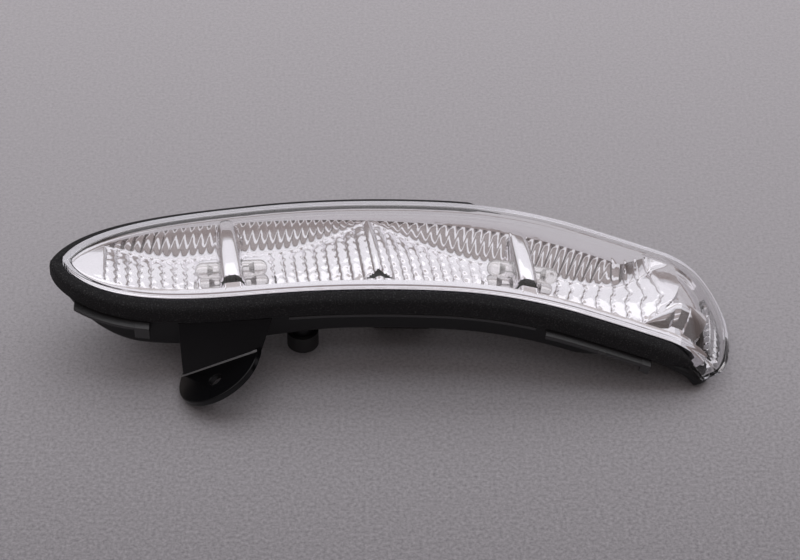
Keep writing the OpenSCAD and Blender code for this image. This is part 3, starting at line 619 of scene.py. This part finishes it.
# %% Housing shell
SEAT_GAP, SEAT_LOW, FLANGE_T = 0.05, 6.05, 1.2
WALL, WALL_OUT, FLANGE_OUT, WALL_LOW = 1.8, 2.5, 3.3, 17
FLOOR_IN, FLOOR_LOW, FLOOR_SHARE, LEDGE_IN = 5.5, 24, 1.37, 4.2
housing_profile = rounded(
    [
        (-FLOOR_IN, -FLOOR_LOW, FLOOR_SHARE),
        (WALL_OUT, -WALL_LOW, 1),
        (WALL_OUT, -SEAT_LOW - FLANGE_T, 0),
        (FLANGE_OUT, -SEAT_LOW - FLANGE_T, 0),
        (FLANGE_OUT, -SEAT_LOW, 0),
        (-LEDGE_IN, -SEAT_LOW, 0),
        (-LEDGE_IN, -SEAT_LOW - FLANGE_T, 0),
        (WALL_OUT - WALL, -SEAT_LOW - FLANGE_T - 0.3, 0),
        (WALL_OUT - WALL, -WALL_LOW + 0.6, 1),
        (-FLOOR_IN - WALL * 0.4, -FLOOR_LOW + WALL, FLOOR_SHARE),
    ],
    [0, 1.6, 0, 0.3, 0.2, 0, 0, 0, 0, 0],
    4,
)
housing = piece("housing_shell", *shell(housing_profile, 200, 8), housing_paint.material, "housing", 40)
print("housing faces:", len(housing.data.polygons))

# %% [markdown]
# ## Ledges and catches
# Thin bars along the near wall snap behind the edge of the mirror's shell.
# A bar is a four-sided section carried along the outline.

# %% Catches
def edge(s, off, h, side):
    s = np.asarray(s, float)
    return at(s, side * width(s, out(off, s, side), side), h)


def rail(name, s1, s2, off_1, off_2, h_1, h_2, soft=0.12):
    s = np.linspace(s1, s2, max(6, int((s2 - s1) / 0.8)))
    section = [(off_1, h_1), (off_2, h_1), (off_2, h_2), (off_1, h_2)]
    points = np.stack([edge(s, off, h, -1) for off, h in section], 1).reshape(-1, 3)
    last = 4 * (len(s) - 1)
    faces = tube_faces(len(s), 4).tolist() + [[0, 1, 2, 3], [last + 3, last + 2, last + 1, last]]
    bar = piece(name, points, faces, catch_highlight_paint.material, "housing", 30)
    bevel = bar.modifiers.new("soft edges", "BEVEL")
    bevel.width, bevel.segments, bevel.limit_method = soft * MM, 2, "ANGLE"
    return bar


LOW = -SEAT_LOW - FLANGE_T
catches = [
    rail("catch_ledge_left", 4, 26, WALL_OUT - 0.5, FLANGE_OUT + 2.6, LOW + 0.4, LOW - 0.5),
    rail("catch_hook_left", 22.5, 27, WALL_OUT - 0.6, FLANGE_OUT + 2.7, LOW + 0.5, LOW - 3.4),
    rail("catch_ledge_right", 151, 185, WALL_OUT - 0.5, FLANGE_OUT + 2.2, LOW + 0.4, LOW - 0.9),
    rail("catch_hook_right", 182.5, 185.5, WALL_OUT - 0.6, FLANGE_OUT + 2.4, LOW + 0.6, LOW - 2.6),
    rail("wall_bead", 69, 148, WALL_OUT - 0.5, WALL_OUT + 0.45, LOW - 0.6, LOW - 1.7),
]
print("catches:", len(catches))

# %% [markdown]
# ## The bracket
# A plate hangs from the near wall, folds outward and ends in a round flange
# with one screw hole. In the fold lies a small fillet, painted pale grey as a
# painted highlight, a thin bright line. The outer edges are beveled.

# %% Bracket
PLATE_S1, PLATE_S2, PLATE_T, PLATE_OUT = 35.4, 64, 2, 3.2
FOLD_Z, FOLD_LEN, FOLD_ROLL, FOLD_YAW = 1.75, 28.5, math.radians(30.1), math.radians(-8)
REACH, HOLE_R, HOLE_OUT = 15.8, 2.2, 6.8
plate_top = -SEAT_LOW - FLANGE_T - 0.6
plate_a, plate_b = (edge([s], WALL_OUT, plate_top, -1)[0] for s in (PLATE_S1, PLATE_S2))
fold_a = np.array([plate_a[0], plate_a[1] - PLATE_OUT, FOLD_Z])
fold_x = np.array([math.cos(FOLD_YAW) * math.cos(FOLD_ROLL), math.sin(FOLD_YAW) * math.cos(FOLD_ROLL), math.sin(FOLD_ROLL)])
fold_y = np.array([math.sin(FOLD_YAW), -math.cos(FOLD_YAW), 0])
fold_up = np.cross(fold_y, fold_x)


def on_fold(x, y, z):
    """A point on the flange: x along the fold, y outward from it, z below its top."""
    return fold_a + x * fold_x + y * fold_y - z * fold_up


def soften(obj, size, segments=3, angle=35):
    bevel = obj.modifiers.new("soft edges", "BEVEL")
    bevel.width, bevel.segments, bevel.limit_method = size * MM, segments, "ANGLE"
    bevel.angle_limit = math.radians(angle)
    bevel.harden_normals = True


proud, sunk = np.array([0, -0.4, 0]), -0.8 * PLATE_T * fold_up
corners = [plate_a + proud, plate_b + proud, on_fold(FOLD_LEN, 0, 0) + sunk, fold_a + sunk]
box_points = [c + (0, k * PLATE_T, 0) for k in (0, 1) for c in corners]
box_faces = [[0, 1, 2, 3], [7, 6, 5, 4], [0, 4, 5, 1], [1, 5, 6, 2], [2, 6, 7, 3], [3, 7, 4, 0]]
plate = piece("bracket_plate", box_points, box_faces, bracket_paint.material, "housing", 30)
soften(plate, 0.25)

turn = np.radians(np.linspace(0, 180, 49))
outline = [(FOLD_LEN / 2 * (1 + math.cos(a)), REACH * abs(math.sin(a)) ** 0.85) for a in turn]
outline += [(0, -PLATE_T * 0.9), (FOLD_LEN, -PLATE_T * 0.9)]
hole = [(FOLD_LEN / 2 + HOLE_R * math.cos(a), HOLE_OUT + HOLE_R * math.sin(a)) for a in np.linspace(0, 2 * np.pi, 49)[:-1]]


def pierced(name, outer, inner, thick, finish, slot):
    """A flat plate with one hole, as bridged rings of faces on both sides."""
    mesh = bmesh.new()
    for z in (0, thick):
        for loop in (outer, inner):
            verts = [mesh.verts.new(on_fold(x, y, z)) for x, y in loop]
            for i, vert in enumerate(verts):
                mesh.edges.new((vert, verts[(i + 1) % len(verts)]))
        level = [e for e in mesh.edges if not e.link_faces]
        bmesh.ops.triangle_fill(mesh, edges=level, use_beauty=True)
    mesh.verts.ensure_lookup_table()
    size = len(outer) + len(inner)
    for start, loop in ((0, outer), (len(outer), inner)):
        for i in range(len(loop)):
            a, b = start + i, start + (i + 1) % len(loop)
            mesh.faces.new([mesh.verts[k] for k in (a, b, size + b, size + a)])
    points = [v.co[:] for v in mesh.verts]
    faces = [[v.index for v in f.verts] for f in mesh.faces]
    mesh.free()
    return piece(name, points, faces, finish, slot, 30)


flange = pierced("bracket_flange", outline, hole, PLATE_T, bracket_paint.material, "housing")
soften(flange, 0.3)

FILLET = 0.25
across = np.linspace(0.3, FOLD_LEN - 0.3, 40)
bend = []
for k in range(9):
    a = math.pi / 2 * k / 8
    bend.append((FILLET * (1 - math.sin(a)), -FILLET * (1 - math.cos(a))))
bend += [(-0.6, -FILLET), (-0.6, 0.3), (FILLET, 0.3)]
front = np.array([0, -1, 0])
fillet_points = [on_fold(x, 0, z) + front * max(y, 0) + (0, -min(y, 0), 0) for x in across for y, z in bend]
ring_n = len(bend)
fillet_faces = tube_faces(len(across), ring_n).tolist()
fillet_faces += [list(range(ring_n)), list(range(ring_n * len(across) - 1, ring_n * len(across) - ring_n - 1, -1))]
# The fillet's pale grey is a painted highlight along the fold, not a colour of the bracket.
fold_highlight_paint = Finish("fold_painted_highlight", (0.3, 0.3, 0.31), 0.25, Specular_IOR_Level=1.0)
fold_highlight_paint.grain(fold_highlight_paint.noise(900, 2.0), 0.00002, 0.5)
fillet = piece("bracket_fillet", fillet_points, fillet_faces, fold_highlight_paint.material, "housing", 50)
print("bracket hole at", on_fold(FOLD_LEN / 2, HOLE_OUT, PLATE_T / 2).round(2))

# %% Vent spigot and board posts
VENT_S, VENT_V, VENT_R, VENT_BORE = 73.4, -15.8, 3.4, 1.6
BOARD_S1, BOARD_S2, BOARD_LOW, BOARD_T = 39, 155, 12.15, 1.2


def lathe(name, profile, place, finish, slot, parts=48, lean=0.0):
    """A turned piece: its profile is a list of (radius, height) pairs."""
    a = np.linspace(0, 2 * np.pi, parts, endpoint=False)
    r, z = (np.array([p[k] for p in profile])[:, None] for k in (0, 1))
    x, y = r * np.cos(a), r * np.sin(a)
    z = np.broadcast_to(z, x.shape)
    points = np.stack([x * math.cos(lean) - z * math.sin(lean), y, x * math.sin(lean) + z * math.cos(lean)], -1)
    faces = tube_faces(len(profile), parts).tolist()
    return piece(name, (points + np.asarray(place)).reshape(-1, 3), faces, finish, slot, 35)


vent_at = at(VENT_S, VENT_V, 0)
vent_low = 7.9
vent_top = float(at(VENT_S, VENT_V, FLOOR_SHARE * rise(np.array(VENT_S)) - FLOOR_LOW)[2]) + 3.2
spigot_profile = [(VENT_BORE, vent_low), (VENT_R - 0.3, vent_low), (VENT_R, vent_low + 0.3), (VENT_R, vent_top), (VENT_BORE, vent_top), (VENT_BORE, vent_low)]
spigot = lathe("vent_spigot", spigot_profile, (vent_at[0], vent_at[1], 0), housing_paint.material, "housing")

board_a, board_b = at(BOARD_S1, 0, -BOARD_LOW), at(BOARD_S2, 0, -BOARD_LOW)
board_mid = (board_a + board_b) / 2
board_tilt = math.atan2(board_b[2] - board_a[2], board_b[0] - board_a[0])
board_y = float(mid_y(BOARD_S1) + mid_y(BOARD_S2) + 2 * mid_y((BOARD_S1 + BOARD_S2) / 2)) / 4
posts = []
for i, (x, r) in enumerate([(-50, 2), (-28, 2.55), (24, 2.55), (49, 2)]):
    foot = np.array([board_mid[0] + x * math.cos(board_tilt), board_y, board_mid[2] + x * math.sin(board_tilt)])
    floor_at = at((BOARD_S1 + BOARD_S2) / 2 + x, 0, WALL * 0.6 + FLOOR_SHARE * rise(np.array((BOARD_S1 + BOARD_S2) / 2 + x)) - FLOOR_LOW)
    tall = float(foot[2] - floor_at[2])
    posts.append(lathe(f"board_post_{i + 1}", [(0, -tall), (r, -tall), (r, -1.25), (0, -1.25)], foot, housing_paint.material, "housing", 32, board_tilt))
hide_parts("housing")
print("posts:", len(posts))

# %% [markdown]
# ## The fluted reflector
# One moulded sheet, coated to a mirror. Its rim seats under the lens. Inside
# it two wells drop away, each crossed by a round rib with a diode on both
# sides, and their floors climb to a ridge in the middle. The floor and the
# far wall are cut into flutes: small convex pillows that spread the light.
#
# It is drawn as a height over the bent leaf. For each of 700 stations, 78
# points run from the near rim to the far rim, and one function gives how deep
# the mirror lies there. A flute is a parabola across its own pitch, so its
# crest is round and its valley sharp.

# %% Reflector form
REFL_GAP, REFL_RIM, RIM_LOW, WELL = 0.6, 1.8, 3.0, 7.0
REFL_END, RIB_1, RIB_2, RIB_R = 205, 50.5, 142, 3.5
TONGUE_S, TONGUE_END, TROUGH = 187, 194, 4.3
FLUTE_D, FLUTE_CUT, SKEW = 0.45, 0.55, 0.17
RIB_WIDE = RIB_R + 0.6
PEAK = (RIB_1 + RIB_2) / 2 - 1.2
WELL_1, WELL_2 = (RIB_1 - 14.5, RIB_1 + 13.5), (RIB_2 - 14.5, RIB_2 + 12.5)


def ramp(far, reach):
    return 1 - np.clip(far / reach, 0, 1) ** 1.6


def well_depth(s):
    left = np.where(s < WELL_1[0], ramp(WELL_1[0] - s, WELL_1[0] - 12), ramp(s - WELL_1[1], PEAK - WELL_1[1]))
    right = np.where(s < WELL_2[0], ramp(WELL_2[0] - s, WELL_2[0] - PEAK), ramp(s - WELL_2[1], TONGUE_END - WELL_2[1]))
    return WELL * np.where(s < PEAK, left, right)


def skew(s):
    return 4 * SKEW * (s / LENS_LEN) * (1 - s / LENS_LEN)


def rim_v(s, off, side):
    w = width(s, off, side)
    return side * width(s - skew(s) * side * w, off, side)


FLUTED = [(8, RIB_1 - 9, 3.2, 3), (RIB_1 + 11, PEAK, 3.2, 3), (PEAK, RIB_2 - 11, 3.2, 3), (RIB_2 + 11, 190, 4.6, 5)]


def fluting(s):
    """0 on a flute's crest and -1 in its valley; 0 where there are none."""
    cut = np.zeros(s.shape)
    for a, b, pitch, power in FLUTED:
        pitch = (b - a) / round((b - a) / pitch)
        u = (s - a) / pitch
        inside = (s > a) & (s < b)
        cut = np.where(inside, -((2 * np.abs(u - np.round(u))) ** power), cut)
    return cut


def far_share(s):
    """Where the wells end on the far side, as a share of the way to the far rim."""
    u = np.clip((s - WELL_1[0]) / (RIB_2 - WELL_1[0]), 0, 1)
    return 0.88 - 0.48 * u - 0.04 * eased_step(s, (RIB_2, 175)) + 0.63 * np.clip((s - 175) / 11.5, 0, 1)


s = np.concatenate([np.linspace(LENS_T + REFL_GAP, 12, 40)[:-1], np.linspace(12, TONGUE_S, 620), np.linspace(TONGUE_S, REFL_END, 80)[1:]])
s = s[:, None]
off = LENS_T + REFL_GAP
near, far = rim_v(s, 0.4 - off, -1), rim_v(s, 0.4 - off, 1)
tongue = np.clip((s - 175) / 11.5, 0, 1)
near_in = np.minimum(rim_v(s, -off - REFL_RIM, -1), -0.45)
far_in = np.maximum(rim_v(s, -off - REFL_RIM, 1), 0.45)
d = well_depth(s)
dip = TROUGH * eased_step(s, (TONGUE_S - 10, TONGUE_S - 5))
foot, top_edge = near_in + 0.32 * np.maximum(d, dip), far_in * far_share(s)
crease = top_edge - 1.12 * d * (1 + 1.2 * tongue)
share = 0.8 - 0.6 * np.clip((s - TONGUE_S + 6) / 11, 0, 1) - 0.13 * np.clip((s - TONGUE_S - 5) / 13, 0, 1)
ready = eased_step(s, (TONGUE_S - 11, TONGUE_S - 6))
lip = (foot + 0.02) * (1 - ready) + near_in * share * ready
run = np.where(s < TONGUE_S + 10.5, 6.0, 8.5)
step = np.maximum(lip - run * ready, foot + 0.4 * (lip - foot))


def spread(a, b, n):
    return a + (b - a) * np.linspace(0, 1, n)[None, :]


def bump(u, a, b):
    """Rises from 0 to 1 over a short way after a, and falls again before b."""
    soft = 0.55
    return np.clip((u - a) / soft, 0, 1) * np.clip((b - u) / soft, 0, 1)


v_near = spread(near, near_in, 3)
v_wall = spread(near_in, foot, 6)[:, 1:]
v_trough = spread(foot, step, 4)[:, 1:]
v_cliff = spread(step, lip, 12)[:, 1:]
v_floor = spread(lip, crease, 44)[:, 1:]
v_back = spread(crease, top_edge, 22)[:, 1:]
v_shelf = spread(top_edge, far_in, 8)[:, 1:]
v_far = spread(far_in, far, 3)[:, 1:]
v = np.concatenate([v_near, v_wall, v_trough, v_cliff, v_floor, v_back, v_shelf, v_far], 1)

deep = np.clip(d / 0.7, 0, 1)
wobble = 0.14 * np.sin(2 * np.pi * v_floor / 3.1 + 0.6 * s)
apex = -4 + 3 * eased_step(s, (158, 174))
chevron = np.where(s > RIB_2, 1, 0) * np.where(v_floor > apex, 0.22 * (v_floor - apex), 0.45 * np.minimum(apex - v_floor, 4))
cut = fluting(s + wobble + chevron)
pillow = 0.012 * np.cos(2 * np.pi * v_floor / 2.6) * (cut < 0) * (s < RIB_2)
h_floor = -d + deep * (FLUTE_CUT * cut + pillow) * bump(v_floor, lip - 0.6, crease)
h_floor[:, -1:] += 0.12 * deep
low = np.maximum(d, dip)
h_wall = -low * np.linspace(0, 1, 6)[None, 1:]
h_trough = np.broadcast_to(-low, v_trough.shape)
h_cliff = -low + (low - d) * (1 - (1 - np.linspace(0, 1, 12)[None, 1:]) ** 1.9)
k = (v_back - crease) / np.maximum(top_edge - crease, 1e-6)
arch = -d * (1 - k**1.4)
stripe = (s - 0.45 * (v_back - crease)) / 2.7
beads = -((2 * np.abs(stripe - np.round(stripe))) ** 2) * (s > 12) * (s < 176)
bead = FLUTE_D * 0.9 * beads * np.sin(np.pi * np.clip(k, 0, 1)) ** 0.3
lines = FLUTE_CUT * fluting(s + 0.22 * (v_back - apex)) * (s > 165)
early = np.clip((s - 168) / 6, 0, 1)
h_back = arch + deep * (bead * (1 - early) + lines * early)
flat_zone = [np.zeros(q.shape) for q in (v_shelf, v_far)]
h = np.concatenate([np.zeros(v_near.shape), h_wall, h_trough, h_cliff, h_floor, np.minimum(h_back, 0)] + flat_zone, 1) - RIM_LOW

# Each rib stands a little above the rim and has a round far end. It is
# laid over the wells: the higher of the two surfaces counts.
for c in (RIB_1, RIB_2):
    end_v = float(np.interp(c, s[:, 0], (far_in * far_share(s))[:, 0]))
    x = np.hypot(s - c, np.maximum(v - end_v, 0)) / RIB_WIDE
    rib = (WELL + 0.35) * np.maximum(1 - x**4, 0) ** 0.5 - WELL
    rib = np.where(v < foot, np.minimum(rib, 0), rib)
    h = np.maximum(h, np.where(x < 1, rib - RIM_LOW, -99))

# The tongue ends in a round edge, and the bezel lies a little lower
tongue_edge = 193.9 - (np.abs(v - 8.5) / 7.52) ** 2.5
past = eased_step((s - skew(s) * v - tongue_edge) / 0.7, (0, 1))
inner = np.clip((v - lip) / 1.5, 0, 1) * np.clip((far_in - v) / 1.2, 0, 1) * eased_step(s, (TONGUE_S - 5, TONGUE_S + 1))
level_there = -RIM_LOW - 1.1
h = np.where(past * inner > 0, h + (level_there - h) * past * inner, h + 0.6 * inner)

# The openings: a half moon at the near end of each rib, a notch in the ridge.
# A point beside an opening's edge is moved onto the edge, and the faces whose
# four points all lie inside the opening are left out.
s_all = np.broadcast_to(s, v.shape).copy()
gone = np.zeros(v.shape)


def near_edge(c):
    c = np.array([float(c)])
    return float(rim_v(c, -off - REFL_RIM, -1)[0])


for c, half, deep_in, low_v, power in (
    (RIB_1, RIB_WIDE, 2.4, near_edge(RIB_1) + 0.32 * WELL - 0.6, 2),
    (RIB_2, RIB_WIDE, 2.4, near_edge(RIB_2) + 0.32 * WELL - 0.6, 2),
    (PEAK, 4.1, 2.6, near_edge(PEAK) + 1.4, 1),
):
    x, y = (s_all - c) / half, (v - low_v) / deep_in
    r = (np.abs(x) ** power + np.abs(y) ** power) ** (1 / power)
    edge_pull = np.where((y > 0) & (np.abs(r - 1) < 0.16), 1 / np.maximum(r, 0.1), 1)
    s_all = c + (s_all - c) * edge_pull
    v = low_v + (v - low_v) * edge_pull
    base_pull = (np.abs(x) < 1.02) & (np.abs(y) < 0.1)
    v = np.where(base_pull, low_v, v)
    gone = np.maximum(gone, ((r < 1.16) & (y > -0.1)) * 1.0)
top = at(s_all - skew(s) * v, v, h)
rows, cols = v.shape
skirt_near = at(s[:, 0] - skew(s[:, 0]) * v[:, 0], v[:, 0], -LENS_H)
skirt_far = at(s[:, 0] - skew(s[:, 0]) * v[:, -1], v[:, -1], -LENS_H)
sheet = np.concatenate([skirt_near[:, None], top, skirt_far[:, None]], 1)
faces = grid_faces(rows, cols + 2)
cells = np.zeros((rows - 1, cols + 1), bool)
cells[:, 1:-1] = (gone[:-1, :-1] + gone[1:, :-1] + gone[1:, 1:] + gone[:-1, 1:]) > 2.5
reflector = piece("reflector_sheet", sheet.reshape(-1, 3), faces[~cells.ravel()], chrome_paint.material, "reflector", 32)
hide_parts("reflector")
print("reflector faces:", len(reflector.data.polygons))

# %% Inside the diodes
LED_V, LED_LOW, LAMP_BACK = -5, 7, RIB_R - 0.9
cores = []
for i, (rib, way) in enumerate([(RIB_1, -1), (RIB_1, 1), (RIB_2, -1), (RIB_2, 1)]):
    base = float(rib - skew(np.array(float(rib))) * LED_V + way * LAMP_BACK)
    tilt = float(crown(base)[2])
    root = at(base, LED_V, -LED_LOW)
    axis = way * np.array([math.cos(tilt), 0, math.sin(tilt)])
    over = np.array([-math.sin(tilt), 0, math.cos(tilt)])
    beside = np.cross(over, axis)
    points, faces = [], []
    for profile, y in (
        ([(0.02, 3.0), (0.8, 3.0), (0.85, 3.4), (1.25, 4.6), (1.15, 4.6), (0.4, 3.7), (0.02, 3.7)], 0.0),
        ([(0.02, 0.3), (0.16, 0.3), (0.16, 3.0), (0.02, 3.0)], 0.6),
    ):
        a = np.linspace(0, 2 * np.pi, 24, endpoint=False)
        r, x = (np.array([q[k] for q in profile])[:, None, None] for k in (0, 1))
        cut = root + x * axis + (r * np.cos(a)[None, :, None] + y) * beside + r * np.sin(a)[None, :, None] * over
        faces += tube_faces(len(profile), 24, sum(len(q) for q in points)).tolist()
        points.append(cut.reshape(-1, 3))
    cores.append(piece(f"led_core_{i + 1}", np.concatenate(points), faces, lead_paint.material, "leads", 30))
print("diode cores:", len(cores))

# %% [markdown]
# ## Floor, light and world
# The lamp lies on plain paper, whose colour is painted darker toward the
# camera as painted shade of the light's fall-off. A broad soft lamp hangs over
# it and a little behind, so the shadow falls toward the camera. The world is
# pale above and darker round the camera, which gives the mirror coat something
# to show.

# %% Floor
paper = Finish("paper", (0.29, 0.28, 0.30), 0.9)
grain = paper.noise(900, 3.0, 0.8)
where = paper.place()
# Painted shade: the paper's colour runs from dark in front to pale behind, by its Y, with real grain mixed in.
back = paper.node("SeparateXYZ", {"output": "Y"}, Vector=where) * 1.6 + 0.42
painted_falloff = paper.node("ValToRGB", {"stops": [(0.0, (0.21, 0.2, 0.215, 1)), (0.42, (0.56, 0.545, 0.57, 1)), (1.0, (0.85, 0.83, 0.86, 1))]}, Fac=back + (grain - 0.5) * 0.85)
paper.set("Base Color", painted_falloff)
floor_mesh = bpy.data.meshes.new("floor")
floor_mesh.from_pydata([(-3, -3, 0), (3, -3, 0), (3, 3, 0), (-3, 3, 0)], [], [(0, 1, 2, 3)])
floor_mesh.materials.append(paper.material)
floor = bpy.data.objects.new("floor", floor_mesh)
bpy.context.scene.collection.objects.link(floor)

# %% Light and world
def softbox(name, place, aim, size, power, tint=(1, 1, 1)):
    lamp = bpy.data.lights.new(name, "AREA")
    lamp.shape, lamp.size, lamp.size_y = "RECTANGLE", size[0], size[1]
    lamp.energy, lamp.color = power, tint
    obj = bpy.data.objects.new(name, lamp)
    bpy.context.scene.collection.objects.link(obj)
    obj.location = place
    way = [aim[i] - place[i] for i in range(3)]
    obj.rotation_euler = (math.atan2(math.hypot(way[0], way[1]), -way[2]), 0, math.atan2(way[1], way[0]) - math.pi / 2)
    return obj


softbox("top_light", (0.0, 0.5, 1.0), (0, 0, 0), (2.2, 1.2), 2.2, (1.0, 0.99, 1.0))

world = bpy.data.worlds.new("studio")
bpy.context.scene.world = world
world.use_nodes = True
sky = world.node_tree
back_node = sky.nodes["Background"]
coord = Wire(sky, sky.nodes.new("ShaderNodeTexCoord").outputs["Generated"])
split = sky.nodes.new("ShaderNodeSeparateXYZ")
plug(sky, split.inputs[0], coord)
across, side, high = (Wire(sky, split.outputs[k]) for k in "XYZ")


def soft_step(wire, place, blur):
    """0 below the place and 1 above it, with a short soft edge."""
    node = wire.tree.nodes.new("ShaderNodeMapRange")
    node.interpolation_type = "SMOOTHSTEP"
    plug(wire.tree, node.inputs["Value"], wire)
    node.inputs["From Min"].default_value = place - blur / 2
    node.inputs["From Max"].default_value = place + blur / 2
    return Wire(wire.tree, node.outputs["Result"])


ceiling = high.maths("MAXIMUM", high, 0.05)
ahead, aside = side / ceiling, across / ceiling
panel = (soft_step(ahead, -0.16, 0.06) - soft_step(ahead, 1.6, 0.3)) * (soft_step(aside, -1.7, 0.2) - soft_step(aside, 1.7, 0.2))
seam = soft_step(ahead, 0.36, 0.04) - soft_step(ahead, 0.46, 0.04)
front = (soft_step(ahead, -1.35, 0.2) - soft_step(ahead, -0.2, 0.06)) * (soft_step(aside, -1.0, 0.3) - soft_step(aside, 1.0, 0.3))
strips = soft_step(ahead, -0.66, 0.03) - soft_step(ahead, -0.54, 0.03) + soft_step(ahead, -1.14, 0.03) - soft_step(ahead, -1.0, 0.03)
base = 0.12 + soft_step(side, 0.2, 0.9) * 0.3 + soft_step(high, 0.15, 0.5) * 0.08 + front * (0.33 + strips * 0.4)
toward = across / side.maths("MAXIMUM", side, 0.05)
card = (soft_step(toward, -0.5, 0.25) - soft_step(toward, 2.2, 0.5)) * soft_step(ahead, 2.2, 0.15) * soft_step(high, 0.03, 0.06)
base = base + card * (0.72 - base)
core = (soft_step(ahead, 0.5, 0.05) - soft_step(ahead, 0.74, 0.05)) * (soft_step(aside, -0.9, 0.08) - soft_step(aside, 0.6, 0.08))
level = base + panel * (1 - seam * 0.7) * (0.8 + core * 0.2 - base)
tones = sky.nodes.new("ShaderNodeValToRGB")
plug(sky, tones.inputs["Fac"], level)
SKY = [(0.0, (0.01, 0.01, 0.012, 1)), (0.25, (0.11, 0.088, 0.083, 1)), (0.55, (0.37, 0.32, 0.31, 1)), (0.8, (0.74, 0.73, 0.765, 1)), (1.0, (1.1, 1.09, 1.12, 1))]
while len(tones.color_ramp.elements) < len(SKY):
    tones.color_ramp.elements.new(0.5)
for element, (place, color) in zip(tones.color_ramp.elements, SKY):
    element.position, element.color = place, color
sky.links.new(tones.outputs["Color"], back_node.inputs["Color"])
back_node.inputs["Strength"].default_value = 0.9
bpy.context.scene.view_settings.view_transform = "Standard"
